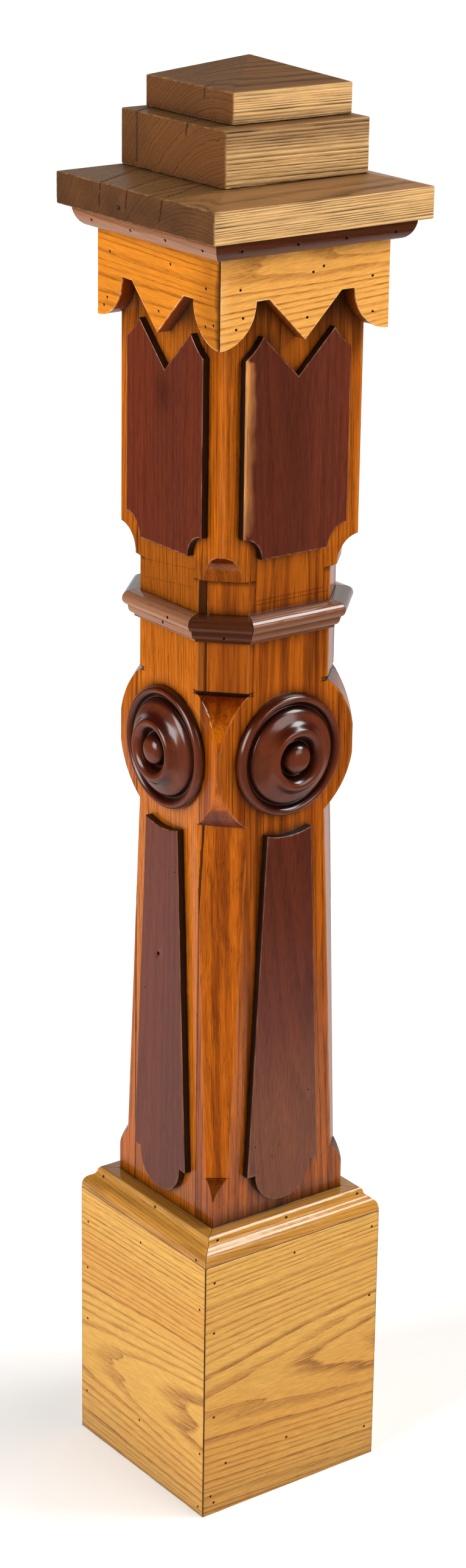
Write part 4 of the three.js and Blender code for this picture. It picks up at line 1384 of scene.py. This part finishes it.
# Painted glow: the paper emits light itself, weakly by the post and fully from 2.5 m out, so it reads white
# up to the horizon.
glow = {"Value": from_post, "From Min": 0.25, "From Max": 2.5, "To Min": 0.3, "To Max": 1.0}
fading = node(floor_tree, "MapRange", glow, interpolation_type="SMOOTHSTEP").outputs[0]
sheet = node(floor_tree, "BsdfPrincipled", {"Emission Color": WHITE, "Emission Strength": fading})
sheet.inputs["Base Color"].default_value = linear("#f2f1ef")
sheet.inputs["Roughness"].default_value = 0.9
sheet.inputs["Specular IOR Level"].default_value = 0.0
lateral = node(floor_tree, "VectorMath", {0: floor_place, 1: aside}, operation="DOT_PRODUCT").outputs["Value"]
along = node(floor_tree, "VectorMath", {0: floor_place, 1: away}, operation="DOT_PRODUCT").outputs["Value"]
on_paper = 1.0
for value, (outside, whole) in ((lateral, PAPER_LEFT), (lateral, PAPER_RIGHT), (along, PAPER_NEAR)):
    limits = {"Value": value, "From Min": outside, "From Max": whole}
    edge = node(floor_tree, "MapRange", limits, interpolation_type="SMOOTHSTEP").outputs[0]
    on_paper = node(floor_tree, "Math", {0: on_paper, 1: edge}, operation="MULTIPLY").outputs[0]
# Painted glow: glossy rays see an emitting sheet of paper that ends beside the post, and the backdrop past
# it.
glowing_mirrored_paper = node(floor_tree, "Emission", {"Color": WHITE, "Strength": 0.6})
see_past = node(floor_tree, "BsdfTransparent")
mirror_view = node(floor_tree, "MixShader", {0: on_paper, 1: see_past.outputs[0], 2: glowing_mirrored_paper.outputs[0]})
is_mirrored = node(floor_tree, "LightPath").outputs["Is Glossy Ray"]
floor_finish = node(floor_tree, "MixShader", {0: is_mirrored, 1: sheet.outputs[0], 2: mirror_view.outputs[0]})
node(floor_tree, "OutputMaterial", {"Surface": floor_finish.outputs[0]})
floor_mesh.materials.append(paper)

# %% Backdrop and lamps

world = bpy.data.worlds.new("studio")
bpy.context.scene.world = world
world.use_nodes = True
sky = world.node_tree
sky.nodes.clear()
direction = node(sky, "TexCoord").outputs["Generated"]
facing = node(sky, "VectorMath", {0: direction, 1: away}, operation="DOT_PRODUCT").outputs["Value"]
screen = {"Value": facing, "From Min": 0.72, "From Max": 0.9, "To Min": 0.02, "To Max": 0.9}
bright = node(sky, "MapRange", screen, interpolation_type="SMOOTHSTEP").outputs[0]
room = node(sky, "Background", {"Color": WHITE, "Strength": bright})
seen = node(sky, "Background", {"Color": WHITE, "Strength": 1.0})
path = node(sky, "LightPath")
choice = node(sky, "MixShader", {0: path.outputs["Is Camera Ray"], 1: room.outputs[0], 2: seen.outputs[0]})
node(sky, "OutputWorld", {"Surface": choice.outputs[0]})


def lamp(name, direction, distance, size, watts):
    """A square soft lamp that looks at the middle of the post from that direction. Lengths are in
    metres."""
    data = bpy.data.lights.new(name, "AREA")
    data.shape = "SQUARE"
    data.size = size
    data.energy = watts
    made = bpy.data.objects.new(name, data)
    bpy.context.scene.collection.objects.link(made)
    toward = np.array(direction) / np.linalg.norm(direction)
    middle = np.array([0, 0, 0.67])
    side = np.cross([0, 0, 1], toward)
    side /= np.linalg.norm(side)
    up = np.cross(toward, side)
    place = np.eye(4)
    place[:3, :3] = np.stack([side, up, toward], axis=1)
    place[:3, 3] = middle + toward * distance
    made.matrix_world = Matrix(place.tolist())
    return made


lamp("key_lamp", (0.56, -0.36, 0.73), 2.6, 1.1, 50)
lamp("front_lamp", (0.35, -0.9, 0.5), 3.0, 1.6, 29)
lamp("left_lamp", (-0.92, 0.0, 0.4), 3.2, 1.8, 88)
lamp("top_lamp", (0.1, 0.15, 1.0), 2.8, 1.2, 6)

# %% [markdown]
# ## Camera
# The photo was taken from eye height, a little above the cap's own height, with a long lens. The camera
# looks slightly off the post, so its whole turn is set by one matrix and no shift is needed.

# %% Camera at the photo's place

PLACE = (-1.703486, -2.287347, 1.731460)
AZIMUTH, ELEVATION, ROLL = (math.radians(a) for a in (-36.6334, 20.1884, 0.8141))
backwards = np.array([math.sin(AZIMUTH) * math.cos(ELEVATION), -math.cos(AZIMUTH) * math.cos(ELEVATION),
                      math.sin(ELEVATION)])
level = np.array([math.cos(AZIMUTH), math.sin(AZIMUTH), 0.0])
upwards = np.cross(backwards, level)
to_right = math.cos(ROLL) * level + math.sin(ROLL) * upwards
to_top = math.cos(ROLL) * upwards - math.sin(ROLL) * level
pose = np.eye(4)
pose[:3, :3] = np.stack([to_right, to_top, backwards], axis=1)
pose[:3, 3] = PLACE
camera = bpy.data.objects.new("photo_camera", bpy.data.cameras.new("photo_camera"))
camera.data.sensor_width = 36.0
camera.data.lens = 76.744
camera.matrix_world = Matrix(pose.tolist())
bpy.context.scene.collection.objects.link(camera)
bpy.context.scene.camera = camera
bpy.context.scene.view_settings.view_transform = "Standard"
